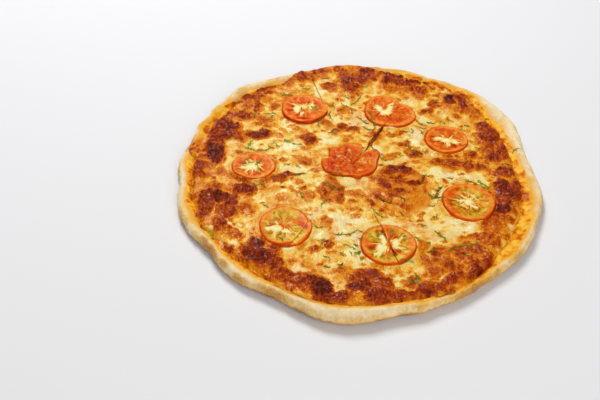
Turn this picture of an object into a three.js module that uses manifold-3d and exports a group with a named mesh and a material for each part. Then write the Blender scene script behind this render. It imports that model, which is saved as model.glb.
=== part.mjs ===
// A margherita pizza: thin stone-baked crust, tomato sauce, melted mozzarella, eight slices of
// tomato and shreds of green herb. It has been cut straight across four times, and the eight
// wedges still lie together. Millimetres, +Z up; the origin is under the middle, on the table.

import * as THREE from 'three';
import { mergeVertices } from 'three/addons/utils/BufferGeometryUtils.js';
import Module from 'manifold-3d';

// ---- driving dimensions -------------------------------------------------------------------

const CUT_CENTRE = [-5, 8.5];                       // where the four cuts cross
const CUT_BEARINGS = [17, 62, 106, 151, 197, 242, 286, 331];   // degrees from +X, as seen from above
const KERF = 0.4;                                   // width of a cut that has stayed shut
const BASE = 4;                                     // dough under the topping
const SAUCE = 1;
const CHEESE = 2.4;
const GAP = 0.3;                                    // between layers that lie on each other
const TUCK = 8;                                     // width over which the rim's underside lifts off the table
const RISE = 5;                                     // width over which the dough climbs to the rim

// The edge, read round the pizza from where the cuts cross: bearing, distance to the edge,
// width of bare crust, width of oily sauce showing inside it, and height of the rim.
const EDGE = [
  [0, 156.5, 10, 8, 9], [15, 159, 13, 6.5, 9.5], [30, 166, 12, 12, 9.5], [45, 160, 5, 7, 8.5],
  [60, 153.5, 4, 8, 8], [75, 151, 3.5, 7, 8], [90, 148, 3.5, 2, 8], [105, 143.5, 3.5, 2, 8],
  [120, 144, 9, 5, 10], [135, 149.5, 13.5, 3, 11.5], [150, 145.5, 4.5, 8, 9], [165, 143.5, 4, 8, 9],
  [180, 147, 7, 7, 9.5], [195, 149.5, 8.5, 5, 10], [210, 152, 8, 6, 10], [225, 153.5, 8.5, 5, 10],
  [240, 155, 8, 6, 10.5], [255, 161, 9, 4.5, 12], [270, 164.5, 11.5, 4.5, 12.5], [285, 158, 6, 7, 10.5],
  [300, 157.5, 3.5, 6, 9], [315, 157.5, 5, 7, 9], [330, 159, 5, 13, 9], [345, 157.5, 7, 9.5, 9],
];

// Stretches where a cut has opened: bearing, from, to (distance along the cut), extra width.
const OPENINGS = [
  [62, 8, 78, 1.8], [62, 134, 172, 3], [106, 90, 150, 0.9], [106, 128, 162, 2.4],
  [286, 38, 130, 0.7], [242, 60, 95, 0.9], [17, 60, 100, 0.6], [331, 75, 120, 0.8],
];

// Browned, raised cheese: middle, half length, half width, turn in degrees, height.
const CRAGS = [
  [[-6, 128], 22, 14, 80, 1.9], [[34, 136], 15, 11, -10, 2.0], [[60, 126], 14, 8, -35, 1.3],
  [[90, 100], 21, 13, -55, 1.6], [[118, 48], 23, 10, -75, 1.6], [[124, -8], 26, 10, -88, 1.8],
  [[117, -38], 14, 11, 70, 1.9], [[92, -92], 30, 12, 42, 1.6], [[54, -110], 17, 9, 25, 1.4],
  [[3, -127], 21, 11, 5, 1.8], [[-35, -125], 15, 9, -25, 1.8], [[-76, -98], 21, 13, -40, 2.3],
  [[-108, -62], 17, 8, -60, 1.3], [[-119, -38], 22, 14, -75, 1.8], [[-134, -6], 20, 8, 85, 1.4],
  [[-112, 53], 22, 15, 35, 1.9], [[-96, 96], 23, 9, 35, 1.5], [[-52, 136], 12, 7, 25, 1.3],
  [[-84, 49], 16, 4, 12, 1.1], [[-92, -21], 12, 8, 20, 1.2], [[-60, -7], 20, 5, 8, 1.2],
  [[-24, -20], 9, 12, 10, 1.2], [[73, 15], 12, 8, 10, 1.2], [[97, 14], 10, 7, -5, 1.1],
  [[-26, 120], 12, 7, -10, 1.2], [[-9, 84], 7, 10, 0, 0.8], [[-44, 44], 6, 9, 15, 0.8],
];
const BLISTER = { at: [31, -16], reach: 29, height: 4.5, fold: 2.6 };   // a bubble in the dough
const CURD = { at: [-8.5, -9], reach: 6, height: 1.8 };      // a lump of cheese that hasn't melted

// Tomato slices: middle, half widths, turn, and the wedges that carry a piece of it. A piece may
// have slid with its wedge, or stand a little higher or lower than its neighbours.
const TOMATO = 3.6;                                 // thickness of a slice
const TOMATO_SINK = 1.0;                            // how far it has settled into the cheese
const TOMATOES = [
  { at: [-47.2, 83.8], half: [21.2, 20.1], turn: 0, on: { 3: {} } },
  { at: [25.3, 84], half: [18, 22.5], turn: 0, on: {
    1: { at: [34, 79.5], half: [19.7, 18.2], rise: -0.6 }, 2: {} } },
  { at: [77.8, 45.8], half: [19.2, 18.3], turn: 20, on: { 1: {}, 8: { rise: -0.3 } } },
  { at: [-88.4, 3.6], half: [18.4, 17], turn: 0, on: { 4: {} } },
  { at: [-8, 13.7], half: [23.1, 18.5], turn: -8, on: {
    1: { at: [-7, 14.5], rise: -0.3 }, 2: { at: [-7.5, 17.2], rise: 0.8 }, 3: { rise: 0.2 }, 4: {},
    5: { at: [-8.8, 13.2] }, 6: { at: [-7.6, 12.6], rise: 0.4 }, 7: { at: [-7, 12.8] },
    8: { at: [-6.5, 13.7], rise: -0.2 } } },
  { at: [-60.8, -65], half: [19.4, 21], turn: -12, on: { 5: {}, 6: { at: [-60, -66], rise: -0.5 } } },
  { at: [19.7, -82.4], half: [21.5, 20.6], turn: 0, on: { 6: {}, 7: { at: [20, -81.8], rise: 0.4 } } },
  { at: [87.7, -32.4], half: [21.3, 21.8], turn: 30, on: { 7: { rise: -0.3 }, 8: {} } },
];

// Herb shreds that are long enough to stand up from the cheese: middle, heading in degrees,
// length, sideways bend, width.
const SHREDS = [
  [[-89, 31], 160, 16, 3, 3], [[-77, 38], 60, 13, -2, 2.4], [[-62, 41], 5, 8, 1, 5],
  [[-78, 73], 80, 10, 2, 2.6], [[-96, 76], 130, 9, 1, 2.2], [[-22, 55], 55, 13, 2, 2.4],
  [[-34, 64], 75, 9, 0, 1.6], [[-7, 97], 60, 12, 2, 2.6], [[6, 105], 65, 14, -2, 1.5],
  [[9, 66], 115, 16, -3, 2.6], [[76, 75], 10, 13, -2, 2.4], [[53, 36], 115, 14, 3, 2],
  [[63, -22], 65, 15, 2, 2.6], [[104, -11], -40, 10, 0, 2.4], [[62, -69], -50, 11, 0, 3.4],
  [[73, -80], 35, 13, 0, 2], [[35, -117], 70, 11, -2, 1.6], [[-27, -77], 8, 14, 2, 1.8],
  [[-26, -62], 40, 10, 1, 2.6], [[-49, -3], 15, 10, 0, 2], [[-26, -22], 70, 12, 2, 2.4],
  [[-10, -94], 60, 8, 1, 2], [[17, -44], -30, 11, 3, 1.4], [[125, 15], 5, 9, 0, 1.6],
];

const COARSE = 15;                                  // grid step where layers meet out of sight
const FINE = 7.2;                                   // grid step on top of the cheese
const EDGE_STEP = 11;                               // step along the rim
const LIP = 2.5;                                    // width of the rounded edge of the cheese
const TOMATO_SIDES = 20;
const TOUCH = 1e-6;                                 // closer than this, two points are one
const SHORT = 0.06;                                 // an edge that a cut leaves shorter is closed up

// ---- small tools -------------------------------------------------------------------------

const radians = THREE.MathUtils.degToRad;
const { lerp, clamp, smoothstep } = THREE.MathUtils;

/** Value of column `column` of EDGE at a bearing, on a smooth closed curve through its rows. */
function edge(column, bearing) {
  const step = 360 / EDGE.length;
  const place = THREE.MathUtils.euclideanModulo(bearing, 360) / step;
  const i = Math.floor(place);
  const t = place - i;
  const [a, b, c, d] = [-1, 0, 1, 2].map((k) => EDGE[(i + k + EDGE.length) % EDGE.length][column]);
  return 0.5 * (2 * b + (c - a) * t + (2 * a - 5 * b + 4 * c - d) * t * t
    + (3 * b - a - 3 * c + d) * t * t * t);
}
const rimAt = (bearing) => edge(1, bearing);
const sauceEdgeAt = (bearing) => rimAt(bearing) - edge(2, bearing);
const cheeseEdgeAt = (bearing) => sauceEdgeAt(bearing) - edge(3, bearing);

/** Distance and bearing of a point from where the cuts cross. */
function polar(x, y) {
  const [dx, dy] = [x - CUT_CENTRE[0], y - CUT_CENTRE[1]];
  return [Math.hypot(dx, dy), THREE.MathUtils.radToDeg(Math.atan2(dy, dx))];
}

/** Smooth noise from -1 to 1 with bumps about `cell` wide, the same on every run. */
function noise(x, y, cell, seed) {
  const corner = (i, j) => {
    const wave = Math.sin(i * 127.1 + j * 311.7 + seed * 74.7) * 43758.5453;
    return 2 * (wave - Math.floor(wave)) - 1;
  };
  const [u, v] = [x / cell, y / cell];
  const [i, j] = [Math.floor(u), Math.floor(v)];
  const [s, t] = [smoothstep(u - i, 0, 1), smoothstep(v - j, 0, 1)];
  return lerp(lerp(corner(i, j), corner(i + 1, j), s), lerp(corner(i, j + 1), corner(i + 1, j + 1), s), t);
}

/** Distance from an oval's middle as a share of its half widths: 1 on the oval. */
function ovalShare(x, y, at, halfA, halfB, turn) {
  const [dx, dy, c, s] = [x - at[0], y - at[1], Math.cos(radians(turn)), Math.sin(radians(turn))];
  return Math.hypot((dx * c + dy * s) / halfA, (dy * c - dx * s) / halfB);
}

// ---- heights -----------------------------------------------------------------------------

/** Height of the bubble in the dough. */
function blisterHeight(x, y) {
  const share = Math.hypot(x - BLISTER.at[0], y - BLISTER.at[1]) / BLISTER.reach;
  return share < 1 ? BLISTER.height * (1 - share ** 2) ** 1.5 : 0;
}

/** Top of the dough: flat under the topping, then a round rim whose crown is half way over. */
function crustTop(x, y) {
  const [distance, bearing] = polar(x, y);
  const inset = rimAt(bearing) - distance;
  const equator = equatorHeight(bearing);
  if (inset < TOUCH) return equator;
  const crown = edge(2, bearing) / 2;
  const height = edge(4, bearing);
  const flat = BASE + 0.3 * noise(x, y, 30, 3) + blisterHeight(x, y);
  if (inset < crown) return equator + (height - equator) * Math.sqrt(1 - (1 - inset / crown) ** 2);
  const slope = clamp((inset - crown) / (1.5 * crown + RISE), 0, 1);
  return flat + (height - flat) * (0.5 + 0.5 * Math.cos(Math.PI * slope));
}

/** Height at which the rim is widest. */
function equatorHeight(bearing) {
  return 0.42 * edge(4, bearing);
}

/** Underside of the dough: on the table, and rounded up towards the edge. */
function crustBottom(x, y) {
  const [distance, bearing] = polar(x, y);
  const inset = rimAt(bearing) - distance;
  if (inset < TOUCH) return equatorHeight(bearing);
  const tuck = 1 - clamp(inset / TUCK, 0, 1);
  return equatorHeight(bearing) * (1 - Math.sqrt(1 - tuck ** 2));
}

const sauceBottom = (x, y) => crustTop(x, y) + GAP;
const sauceTop = (x, y) => sauceBottom(x, y) + SAUCE;
const cheeseBottom = (x, y) => sauceTop(x, y) + GAP;

/** Melted cheese before anything is laid on it: soft swells, browned crags, fold and curd. */
function openCheese(x, y) {
  let relief = 0.45 * noise(x, y, 17, 1) + 0.25 * noise(x, y, 9, 2);
  for (const [at, halfA, halfB, turn, height] of CRAGS) {
    const share = ovalShare(x, y, at, halfA, halfB, turn);
    if (share < 1.3) relief += height * (1 - smoothstep(share, 0.4, 1.3)) * (0.8 + 0.6 * noise(x, y, 13, 5));
  }
  const [dx, dy] = [x - BLISTER.at[0], y - BLISTER.at[1]];
  const crest = (Math.hypot(dx, dy) - 0.72 * BLISTER.reach) / 5;
  const ahead = clamp(dy / BLISTER.reach, 0, 1);
  relief += BLISTER.fold * ahead * Math.exp(-crest * crest);
  const lump = Math.hypot(x - CURD.at[0], y - CURD.at[1]) / CURD.reach;
  relief += lump < 1 ? CURD.height * (1 - lump ** 2) : 0;
  return cheeseBottom(x, y) + CHEESE + relief;
}

/** Height of the bed under a tomato slice. */
function seatHeight({ at }) {
  return cheeseBottom(...at) + CHEESE - TOMATO_SINK;
}

/** Top of the cheese: level beds under the tomato, and a rounded outer edge. */
function cheeseTop(x, y) {
  let top = openCheese(x, y);
  for (const tomato of TOMATOES) {
    for (const piece of Object.values(tomato.on)) {
      const { at, half } = { ...tomato, ...piece };
      const away = Math.hypot(x - at[0], y - at[1]) - Math.max(...half);
      top = lerp(seatHeight(tomato), top, smoothstep(away, 4, 12));
    }
  }
  const [distance, bearing] = polar(x, y);
  const inset = clamp((cheeseEdgeAt(bearing) - distance) / LIP, 0, 1);
  return Math.max(cheeseBottom(x, y) + 0.7, top - 1.4 * (1 - inset) ** 2);
}

// ---- wedges ------------------------------------------------------------------------------

/** Half the width of a cut at a distance along it. */
function halfKerf(bearing, distance) {
  let width = KERF;
  for (const [cut, from, to, extra] of OPENINGS) {
    const t = (distance - from) / (to - from);
    if (cut === bearing && t > 0 && t < 1) width += extra * Math.sin(Math.PI * t) ** 2;
  }
  return width / 2;
}

/** Points across a wedge, from its first cut to its second, at the distance reach(bearing). */
function across([first, second], reach, step) {
  const start = first + THREE.MathUtils.radToDeg(Math.atan2(halfKerf(first % 360, reach(first)), reach(first)));
  const end = second - THREE.MathUtils.radToDeg(Math.atan2(halfKerf(second % 360, reach(second)), reach(second)));
  const arc = radians(end - start) * reach((start + end) / 2);
  const count = Math.max(1, Math.round(arc / step));
  return Array.from({ length: count + 1 }, (_, i) => {
    const bearing = lerp(start, end, i / count);
    const distance = reach(bearing);
    return [CUT_CENTRE[0] + distance * Math.cos(radians(bearing)),
      CUT_CENTRE[1] + distance * Math.sin(radians(bearing))];
  });
}

/** The single point at a wedge's tip. */
function tipOf([first, second]) {
  const distance = KERF / 2 / Math.sin(radians((second - first) / 2));
  const middle = radians((first + second) / 2);
  return [[CUT_CENTRE[0] + distance * Math.cos(middle), CUT_CENTRE[1] + distance * Math.sin(middle)]];
}

/** Rows from the tip to the edge of the cheese, about `step` apart. */
function innerRows(cuts, step) {
  const count = Math.round(cheeseEdgeAt((cuts[0] + cuts[1]) / 2) / step);
  const rows = [tipOf(cuts)];
  for (let i = 1; i < count; i++) {
    rows.push(across(cuts, (bearing) => (cheeseEdgeAt(bearing) - LIP) * i / (count - 1), step));
  }
  rows.push(across(cuts, cheeseEdgeAt, EDGE_STEP));
  return rows;
}

/** Rows over the oily sauce that shows between cheese and bare crust. */
function bandRows(cuts) {
  return [0.5, 1].map((share) => across(cuts,
    (bearing) => lerp(cheeseEdgeAt(bearing), sauceEdgeAt(bearing), share), EDGE_STEP));
}

/** Rows over the bare crust, out to where the rim is widest. */
function rimRows(cuts) {
  return [0.25, 0.5, 0.75, 0.92, 1].map((share) => across(cuts,
    (bearing) => lerp(sauceEdgeAt(bearing), rimAt(bearing), share), EDGE_STEP));
}

/** Rows under the dough: wide steps, then closer where the rim lifts off the table. */
function undersideRows(cuts) {
  const rows = [tipOf(cuts)];
  const flat = 5;
  for (let i = 1; i <= flat; i++) rows.push(across(cuts, (bearing) => (rimAt(bearing) - TUCK) * i / flat, 24));
  for (const inset of [4, 1.2, 0]) rows.push(across(cuts, (bearing) => rimAt(bearing) - inset, EDGE_STEP));
  return rows;
}

const raise = (rows, height) => rows.map((row) => row.map(([x, y]) => [x, y, height(x, y)]));

/** Triangles between two rows of points, in step with how far along each row they are. */
function zip(faces, lower, upper, flip = false) {
  const along = (row) => {
    const steps = [0];
    for (let k = 1; k < row.length; k++) {
      steps.push(steps[k - 1] + Math.hypot(row[k][0] - row[k - 1][0], row[k][1] - row[k - 1][1]));
    }
    return steps.map((s) => s / (steps[steps.length - 1] || 1));
  };
  const [a, b] = [along(lower), along(upper)];
  let [i, j] = [0, 0];
  while (i < lower.length - 1 || j < upper.length - 1) {
    const useUpper = i === lower.length - 1 || (j < upper.length - 1 && b[j + 1] <= a[i + 1]);
    const corner = useUpper ? upper[j + 1] : lower[i + 1];
    const face = flip ? [lower[i], corner, upper[j]] : [lower[i], upper[j], corner];
    const keys = new Set(face.map(String));
    if (keys.size === 3) faces.push(...face);
    if (useUpper) j += 1; else i += 1;
  }
}

/** A closed wedge between a lower and an upper set of rows. */
function wedge(lowerRows, upperRows) {
  const faces = [];
  for (let k = 1; k < upperRows.length; k++) zip(faces, upperRows[k - 1], upperRows[k]);
  for (let k = 1; k < lowerRows.length; k++) zip(faces, lowerRows[k - 1], lowerRows[k], true);
  const side = (rows, end) => rows.map((row) => row[end ? row.length - 1 : 0]);
  zip(faces, side(lowerRows, false), side(upperRows, false), true);
  zip(faces, side(lowerRows, true), side(upperRows, true));
  zip(faces, lowerRows[lowerRows.length - 1], upperRows[upperRows.length - 1], true);
  return closedGeometry(faces.flat());
}

/** A geometry with its shared corners merged. */
function closedGeometry(numbers) {
  const geometry = new THREE.BufferGeometry();
  geometry.setAttribute('position', new THREE.Float32BufferAttribute(numbers, 3));
  return mergeVertices(geometry, 1e-4);
}

// ---- joining and cutting -----------------------------------------------------------------

const wasm = await Module();
wasm.setup();

function toSolid(geometry) {
  const plain = geometry.clone();
  plain.deleteAttribute('normal');
  plain.deleteAttribute('uv');
  const merged = mergeVertices(plain, 1e-4);
  return new wasm.Manifold(new wasm.Mesh({
    numProp: 3,
    vertProperties: new Float32Array(merged.attributes.position.array),
    triVerts: new Uint32Array(merged.index.array),
  }));
}

/** The solid's surface, with the very short edges that a cut leaves drawn to one point. */
function toGeometry(solid) {
  const { vertProperties, triVerts } = solid.getMesh();
  const corner = (k) => new THREE.Vector3().fromArray(vertProperties, 3 * k);
  const home = Array.from({ length: vertProperties.length / 3 }, (_, k) => k);
  const root = (k) => (home[k] === k ? k : root(home[k]));
  for (let k = 0; k < triVerts.length; k++) {
    const [a, b] = [root(triVerts[k]), root(triVerts[k % 3 === 2 ? k - 2 : k + 1])];
    if (a !== b && corner(a).distanceTo(corner(b)) < SHORT) home[Math.max(a, b)] = Math.min(a, b);
  }
  const faces = new Map();
  for (let k = 0; k < triVerts.length; k += 3) {
    const face = [...triVerts.slice(k, k + 3)].map(root);
    const key = [...face].sort((a, b) => a - b).join();
    if (new Set(face).size < 3) continue;
    if (!faces.delete(key)) faces.set(key, face);   // two faces back to back close on each other
  }
  return closedGeometry([...faces.values()].flat().flatMap((k) => corner(k).toArray()));
}

// ---- pieces ------------------------------------------------------------------------------

/** The dough of one wedge. */
function crustWedge(cuts) {
  const top = [...innerRows(cuts, COARSE), ...bandRows(cuts), ...rimRows(cuts)];
  return wedge(raise(undersideRows(cuts), crustBottom), raise(top, crustTop));
}

/** The sauce of one wedge. */
function sauceWedge(cuts) {
  const rows = [...innerRows(cuts, COARSE), ...bandRows(cuts)];
  return wedge(raise(rows, sauceBottom), raise(rows, sauceTop));
}

/** The melted cheese of one wedge, with the herb shreds on it, which the knife has cut too. */
function cheeseWedge(cuts) {
  const bare = wedge(raise(innerRows(cuts, COARSE), cheeseBottom), raise(innerRows(cuts, FINE), cheeseTop));
  const block = wedgeBlock(cuts);
  let solid = toSolid(bare);
  for (const [at, ...shape] of SHREDS) {
    const turn = THREE.MathUtils.euclideanModulo(polar(...at)[1] - cuts[0], 360);
    if (turn < cuts[1] - cuts[0]) solid = solid.add(toSolid(shred(at, ...shape)).intersect(block));
  }
  return toGeometry(solid);
}

/** A limp strip of herb on the cheese: four sections, thinner at its ends. */
function shred(at, heading, length, bend, width) {
  const [c, s] = [Math.cos(radians(heading)), Math.sin(radians(heading))];
  const sections = [-1, -0.35, 0.35, 1].map((t) => {
    const [along, sideways] = [t * length / 2, bend * (1 - t * t)];
    const half = width / 2 * (1 - 0.55 * t * t);
    const corner = (side, lift) => {
      const x = at[0] + along * c - (sideways + side * half) * s;
      const y = at[1] + along * s + (sideways + side * half) * c;
      return [x, y, cheeseTop(x, y) + lift];
    };
    return [corner(-1, -0.9), corner(1, -0.9), corner(1, 0.7), corner(-1, 0.8)];
  });
  const faces = [];
  const quad = (p, q, r, t) => faces.push(p, q, r, p, r, t);
  for (let k = 1; k < sections.length; k++) {
    for (let i = 0; i < 4; i++) {
      const n = (i + 1) % 4;
      quad(sections[k - 1][i], sections[k - 1][n], sections[k][n], sections[k][i]);
    }
  }
  quad(...[...sections[0]].reverse());
  quad(...sections[sections.length - 1]);
  return closedGeometry(faces.flat());
}

/** A round slice of tomato: skin rounded over, flesh sunk in the seed chambers, a raised core. */
function tomatoDisc(tomato, piece, number) {
  const { at, half, turn, rise = 0 } = { ...tomato, ...piece };
  const seat = seatHeight(tomato) + GAP;
  const profile = [[0, 0], [0.93, 0], [1, 0.4], [0.97, 0.95], [0.84, 1], [0.6, 0.8], [0.32, 0.93], [0, 0.95]];
  const points = profile.map(([r, h]) => new THREE.Vector2(r, h * (TOMATO + rise)));
  const geometry = new THREE.LatheGeometry(points, TOMATO_SIDES);
  geometry.rotateX(Math.PI / 2);
  const place = geometry.attributes.position;
  const [c, s] = [Math.cos(radians(turn)), Math.sin(radians(turn))];
  for (let k = 0; k < place.count; k++) {
    const [px, py, pz] = [place.getX(k), place.getY(k), place.getZ(k)];
    const angle = Math.atan2(py, px);
    const uneven = 1 + 0.02 * Math.sin(3 * angle + number) + 0.012 * Math.sin(5 * angle + 2 * number);
    const [u, v] = [px * uneven * half[0], py * uneven * half[1]];
    const share = Math.hypot(px, py);
    const spoke = share > 0.5 && share < 0.7 && pz > TOMATO / 2 ? 0.4 * Math.cos(4 * angle + number) : 0;
    place.setXYZ(k, at[0] + u * c - v * s, at[1] + u * s + v * c, seat + pz + spoke);
  }
  return toSolid(geometry);
}

/** A tall block over one wedge, inside its cuts, that trims what is laid across them. */
function wedgeBlock(cuts) {
  const rows = [tipOf(cuts), ...[30, 60, 90, 120, 180].map((far) => across(cuts, () => far, 200))];
  return toSolid(wedge(raise(rows, () => -10), raise(rows, () => 40)));
}

// ---- the pizza ---------------------------------------------------------------------------

const material = (color, roughness) => new THREE.MeshStandardMaterial({ color, roughness, metalness: 0 });
const CRUST_LOOK = material('#e6d2ab', 0.85);
const SAUCE_LOOK = material('#e58a2c', 0.4);
const CHEESE_LOOK = material('#efc574', 0.45);
const TOMATO_LOOK = material('#dc5427', 0.3);

const pizza = new THREE.Group();

function addPiece(name, geometry, look) {
  const mesh = new THREE.Mesh(geometry, look);
  mesh.name = name;
  pizza.add(mesh);
}

const wedges = CUT_BEARINGS.map((bearing, k) => [bearing, CUT_BEARINGS[k + 1] ?? CUT_BEARINGS[0] + 360]);
wedges.forEach((cuts, k) => {
  addPiece(`crust_${k + 1}`, crustWedge(cuts), CRUST_LOOK);
  addPiece(`sauce_${k + 1}`, sauceWedge(cuts), SAUCE_LOOK);
  addPiece(`cheese_${k + 1}`, cheeseWedge(cuts), CHEESE_LOOK);
});

TOMATOES.forEach((tomato, k) => {
  for (const [wedgeNumber, piece] of Object.entries(tomato.on)) {
    const whole = tomatoDisc(tomato, piece, k + 1);
    const cut = whole.intersect(wedgeBlock(wedges[wedgeNumber - 1]));
    addPiece(`tomato_${k + 1}_on_${wedgeNumber}`, toGeometry(cut), TOMATO_LOOK);
  }
});

export default pizza;
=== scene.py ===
# %% [markdown]
# # A margherita pizza
#
# The pizza is thin dough, a skin of tomato sauce, melted mozzarella, eight slices of tomato and
# shreds of green herb. It has been cut straight across four times and the eight wedges still lie
# together. Every piece below is a mesh at its real size, set out in the frame of the solid model.

# %% Load the solid model
import math

import bpy
import numpy as np
from mathutils import Matrix


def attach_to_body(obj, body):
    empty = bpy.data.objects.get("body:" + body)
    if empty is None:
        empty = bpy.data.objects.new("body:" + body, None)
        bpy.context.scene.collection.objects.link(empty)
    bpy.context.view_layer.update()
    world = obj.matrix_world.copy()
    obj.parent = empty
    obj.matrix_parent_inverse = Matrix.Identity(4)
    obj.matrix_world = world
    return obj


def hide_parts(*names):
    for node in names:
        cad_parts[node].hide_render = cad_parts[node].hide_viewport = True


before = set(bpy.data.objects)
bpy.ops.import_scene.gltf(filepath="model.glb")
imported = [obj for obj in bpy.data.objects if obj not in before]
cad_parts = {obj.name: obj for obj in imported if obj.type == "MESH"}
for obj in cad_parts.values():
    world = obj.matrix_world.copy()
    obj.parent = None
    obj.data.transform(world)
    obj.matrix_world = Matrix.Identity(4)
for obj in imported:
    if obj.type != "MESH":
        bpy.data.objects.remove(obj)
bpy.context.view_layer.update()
MM = 0.001

# %% [markdown]
# ## Small helpers
#
# Lengths below are millimetres, because food is measured so, and become metres only when they
# reach a mesh. Colours are written as they look on a screen and turned to linear light here.
# Blender's Standard view shows such a colour as it is written, while the default view would pull
# the orange of hot oil towards tan.

# %% Helpers for numbers, colours and nodes
bpy.context.scene.view_settings.view_transform = "Standard"


def linear(hex_colour):
    """An sRGB hex colour as linear red, green, blue and alpha."""
    shares = [int(hex_colour[k:k + 2], 16) / 255 for k in (1, 3, 5)]
    return [s / 12.92 if s <= 0.04045 else ((s + 0.055) / 1.055) ** 2.4 for s in shares] + [1.0]


def fill_sockets(tree, node, inputs):
    """Types a number or a hex colour into each socket, or plugs in the output of another node."""
    for socket, value in inputs.items() if isinstance(inputs, dict) else enumerate(inputs):
        if isinstance(value, bpy.types.NodeSocket):
            tree.links.new(value, node.inputs[socket])
        else:
            node.inputs[socket].default_value = linear(value) if isinstance(value, str) else value


def add_node(tree, kind, settings=None, inputs=(), stops=(), out=0):
    """Adds a node with its settings, inputs and colour stops, and returns one of its outputs.

    A list of inputs fills the sockets in order: a Math node takes two numbers, and a Map Range node a
    value, the two ends of its range and what they become. A Mix node of colours has its factor in
    socket 0, its colours in 6 and 7, and its result in output 2.
    """
    node = tree.nodes.new(kind)
    for name, value in (settings or {}).items():
        setattr(node, name, value)
    fill_sockets(tree, node, inputs)
    if stops:
        elements = node.color_ramp.elements
        elements[0].position, elements[1].position = stops[0][0], stops[-1][0]
        for place, _ in stops[1:-1]:
            elements.new(place)
        for element, (_, colour) in zip(elements, stops):
            element.color = linear(colour)
    return node.outputs[out]


def new_paint(name):
    """A material, its node tree and its shader."""
    paint = bpy.data.materials.new(name)
    paint.use_nodes = True
    return paint, paint.node_tree, paint.node_tree.nodes["Principled BSDF"]


def deselect_all():
    for thing in bpy.context.selected_objects:
        thing.select_set(False)


def smoothstep(value, low, high):
    share = np.clip((value - low) / (high - low), 0, 1)
    return share * share * (3 - 2 * share)


def lerp(low, high, share):
    return low + (high - low) * share


# %% [markdown]
# ## Camera, floor and light
#
# The eye is above the front of the pizza and looks down at 44 degrees through a 50 mm lens. The
# floor is plain and pale. One wide lamp hangs over the back of the table, as a window would, and a
# weaker one fills in from the front, so that the rim throws a thin shadow at the front and the
# cheese shows its lumps without hard edges.

# %% Camera
AIM = (-48.7, -26.0, 0.0)           # the point on the table in the middle of the picture
DISTANCE, ELEVATION, ROLL = 685.6, 43.98, -1.73

camera = bpy.data.objects.new("camera", bpy.data.cameras.new("camera"))
bpy.context.scene.collection.objects.link(camera)
bpy.context.scene.camera = camera
camera.data.lens, camera.data.sensor_width = 50, 36
rise = math.radians(ELEVATION)
camera.location = [AIM[0] * MM, (AIM[1] - DISTANCE * math.cos(rise)) * MM, DISTANCE * math.sin(rise) * MM]
tilt = Matrix.Rotation(math.pi / 2 - rise, 3, "X") @ Matrix.Rotation(math.radians(-ROLL), 3, "Z")
camera.rotation_euler = tilt.to_euler()
print("camera at", [round(v, 3) for v in camera.location])

# %% [markdown]
# The floor lies a little under the pizza, because two faces in one plane would flicker. A lamp shines
# down its own axis, so it is leaned away from straight down and turned towards the middle.

# %% Floor and lamps
FLOOR_WIDTH = 6                      # in metres, so that it fills the picture
FLOOR_GAP = 0.3

deselect_all()
bpy.ops.mesh.primitive_plane_add(size=FLOOR_WIDTH, location=(0, 0, -FLOOR_GAP * MM))
floor = bpy.context.object
floor.name = "floor"
floor_paint, tree, shader = new_paint("matt_white_tabletop")
fill_sockets(tree, shader, {"Base Color": "#F0F0F2", "Roughness": 0.9, "Specular IOR Level": 0.1})
floor.data.materials.append(floor_paint)

# name, place in metres, width, power, colour: both look at the middle of the pizza
LAMPS = [
    ("window", (-0.35, 0.95, 1.25), 0.6, 18.5, "#FFFFFF"),
    ("fill", (0.5, -1.3, 0.9), 1.6, 14, "#FFFAF2"),
]
for name, place, width, power, colour in LAMPS:
    lamp = bpy.data.objects.new(name, bpy.data.lights.new(name, "AREA"))
    lamp.data.size, lamp.data.energy = width, power
    lamp.data.color = linear(colour)[:3]
    lamp.location = place
    lean = math.atan2(math.hypot(place[0], place[1]), place[2])
    lamp.rotation_euler = (lean, 0, math.atan2(-place[1], -place[0]) - math.pi / 2)
    bpy.context.scene.collection.objects.link(lamp)
sky = bpy.context.scene.world or bpy.data.worlds.new("soft_room")
bpy.context.scene.world = sky
sky.use_nodes = True
fill_sockets(sky.node_tree, sky.node_tree.nodes["Background"], {"Color": "#F4F6FA", "Strength": 0.25})
print("lamps:", [lamp[0] for lamp in LAMPS])

# %% [markdown]
# ## The plan of the pizza
#
# These are the pizza's own sizes, the same as in its solid model. The edge is read round the pizza
# from the point where the cuts cross, and a smooth closed curve runs through the readings. Cheese,
# oily sauce and bare dough follow each other towards the rim, so all three come from one table.

# %% Edge and cuts
CUT_CENTRE = (-5, 8.5)
CUT_BEARINGS = [17, 62, 106, 151, 197, 242, 286, 331]
KERF = 0.12                          # a cut that has stayed shut is only a seam
BASE, SAUCE, CHEESE = 4, 1, 2.4      # thickness of the dough, the sauce and the cheese
GAP = 0.3                            # air that the solid model leaves between two layers
TUCK = 8                             # how far in from the rim the underside starts to curl up
RISE = 5                             # what the slope up to the rim has beyond one and a half crowns
EQUATOR = 0.42                       # share of the rim's height at which it is widest
HANDS_REACH = 17                     # width of rim that hands pushed in or out

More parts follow.
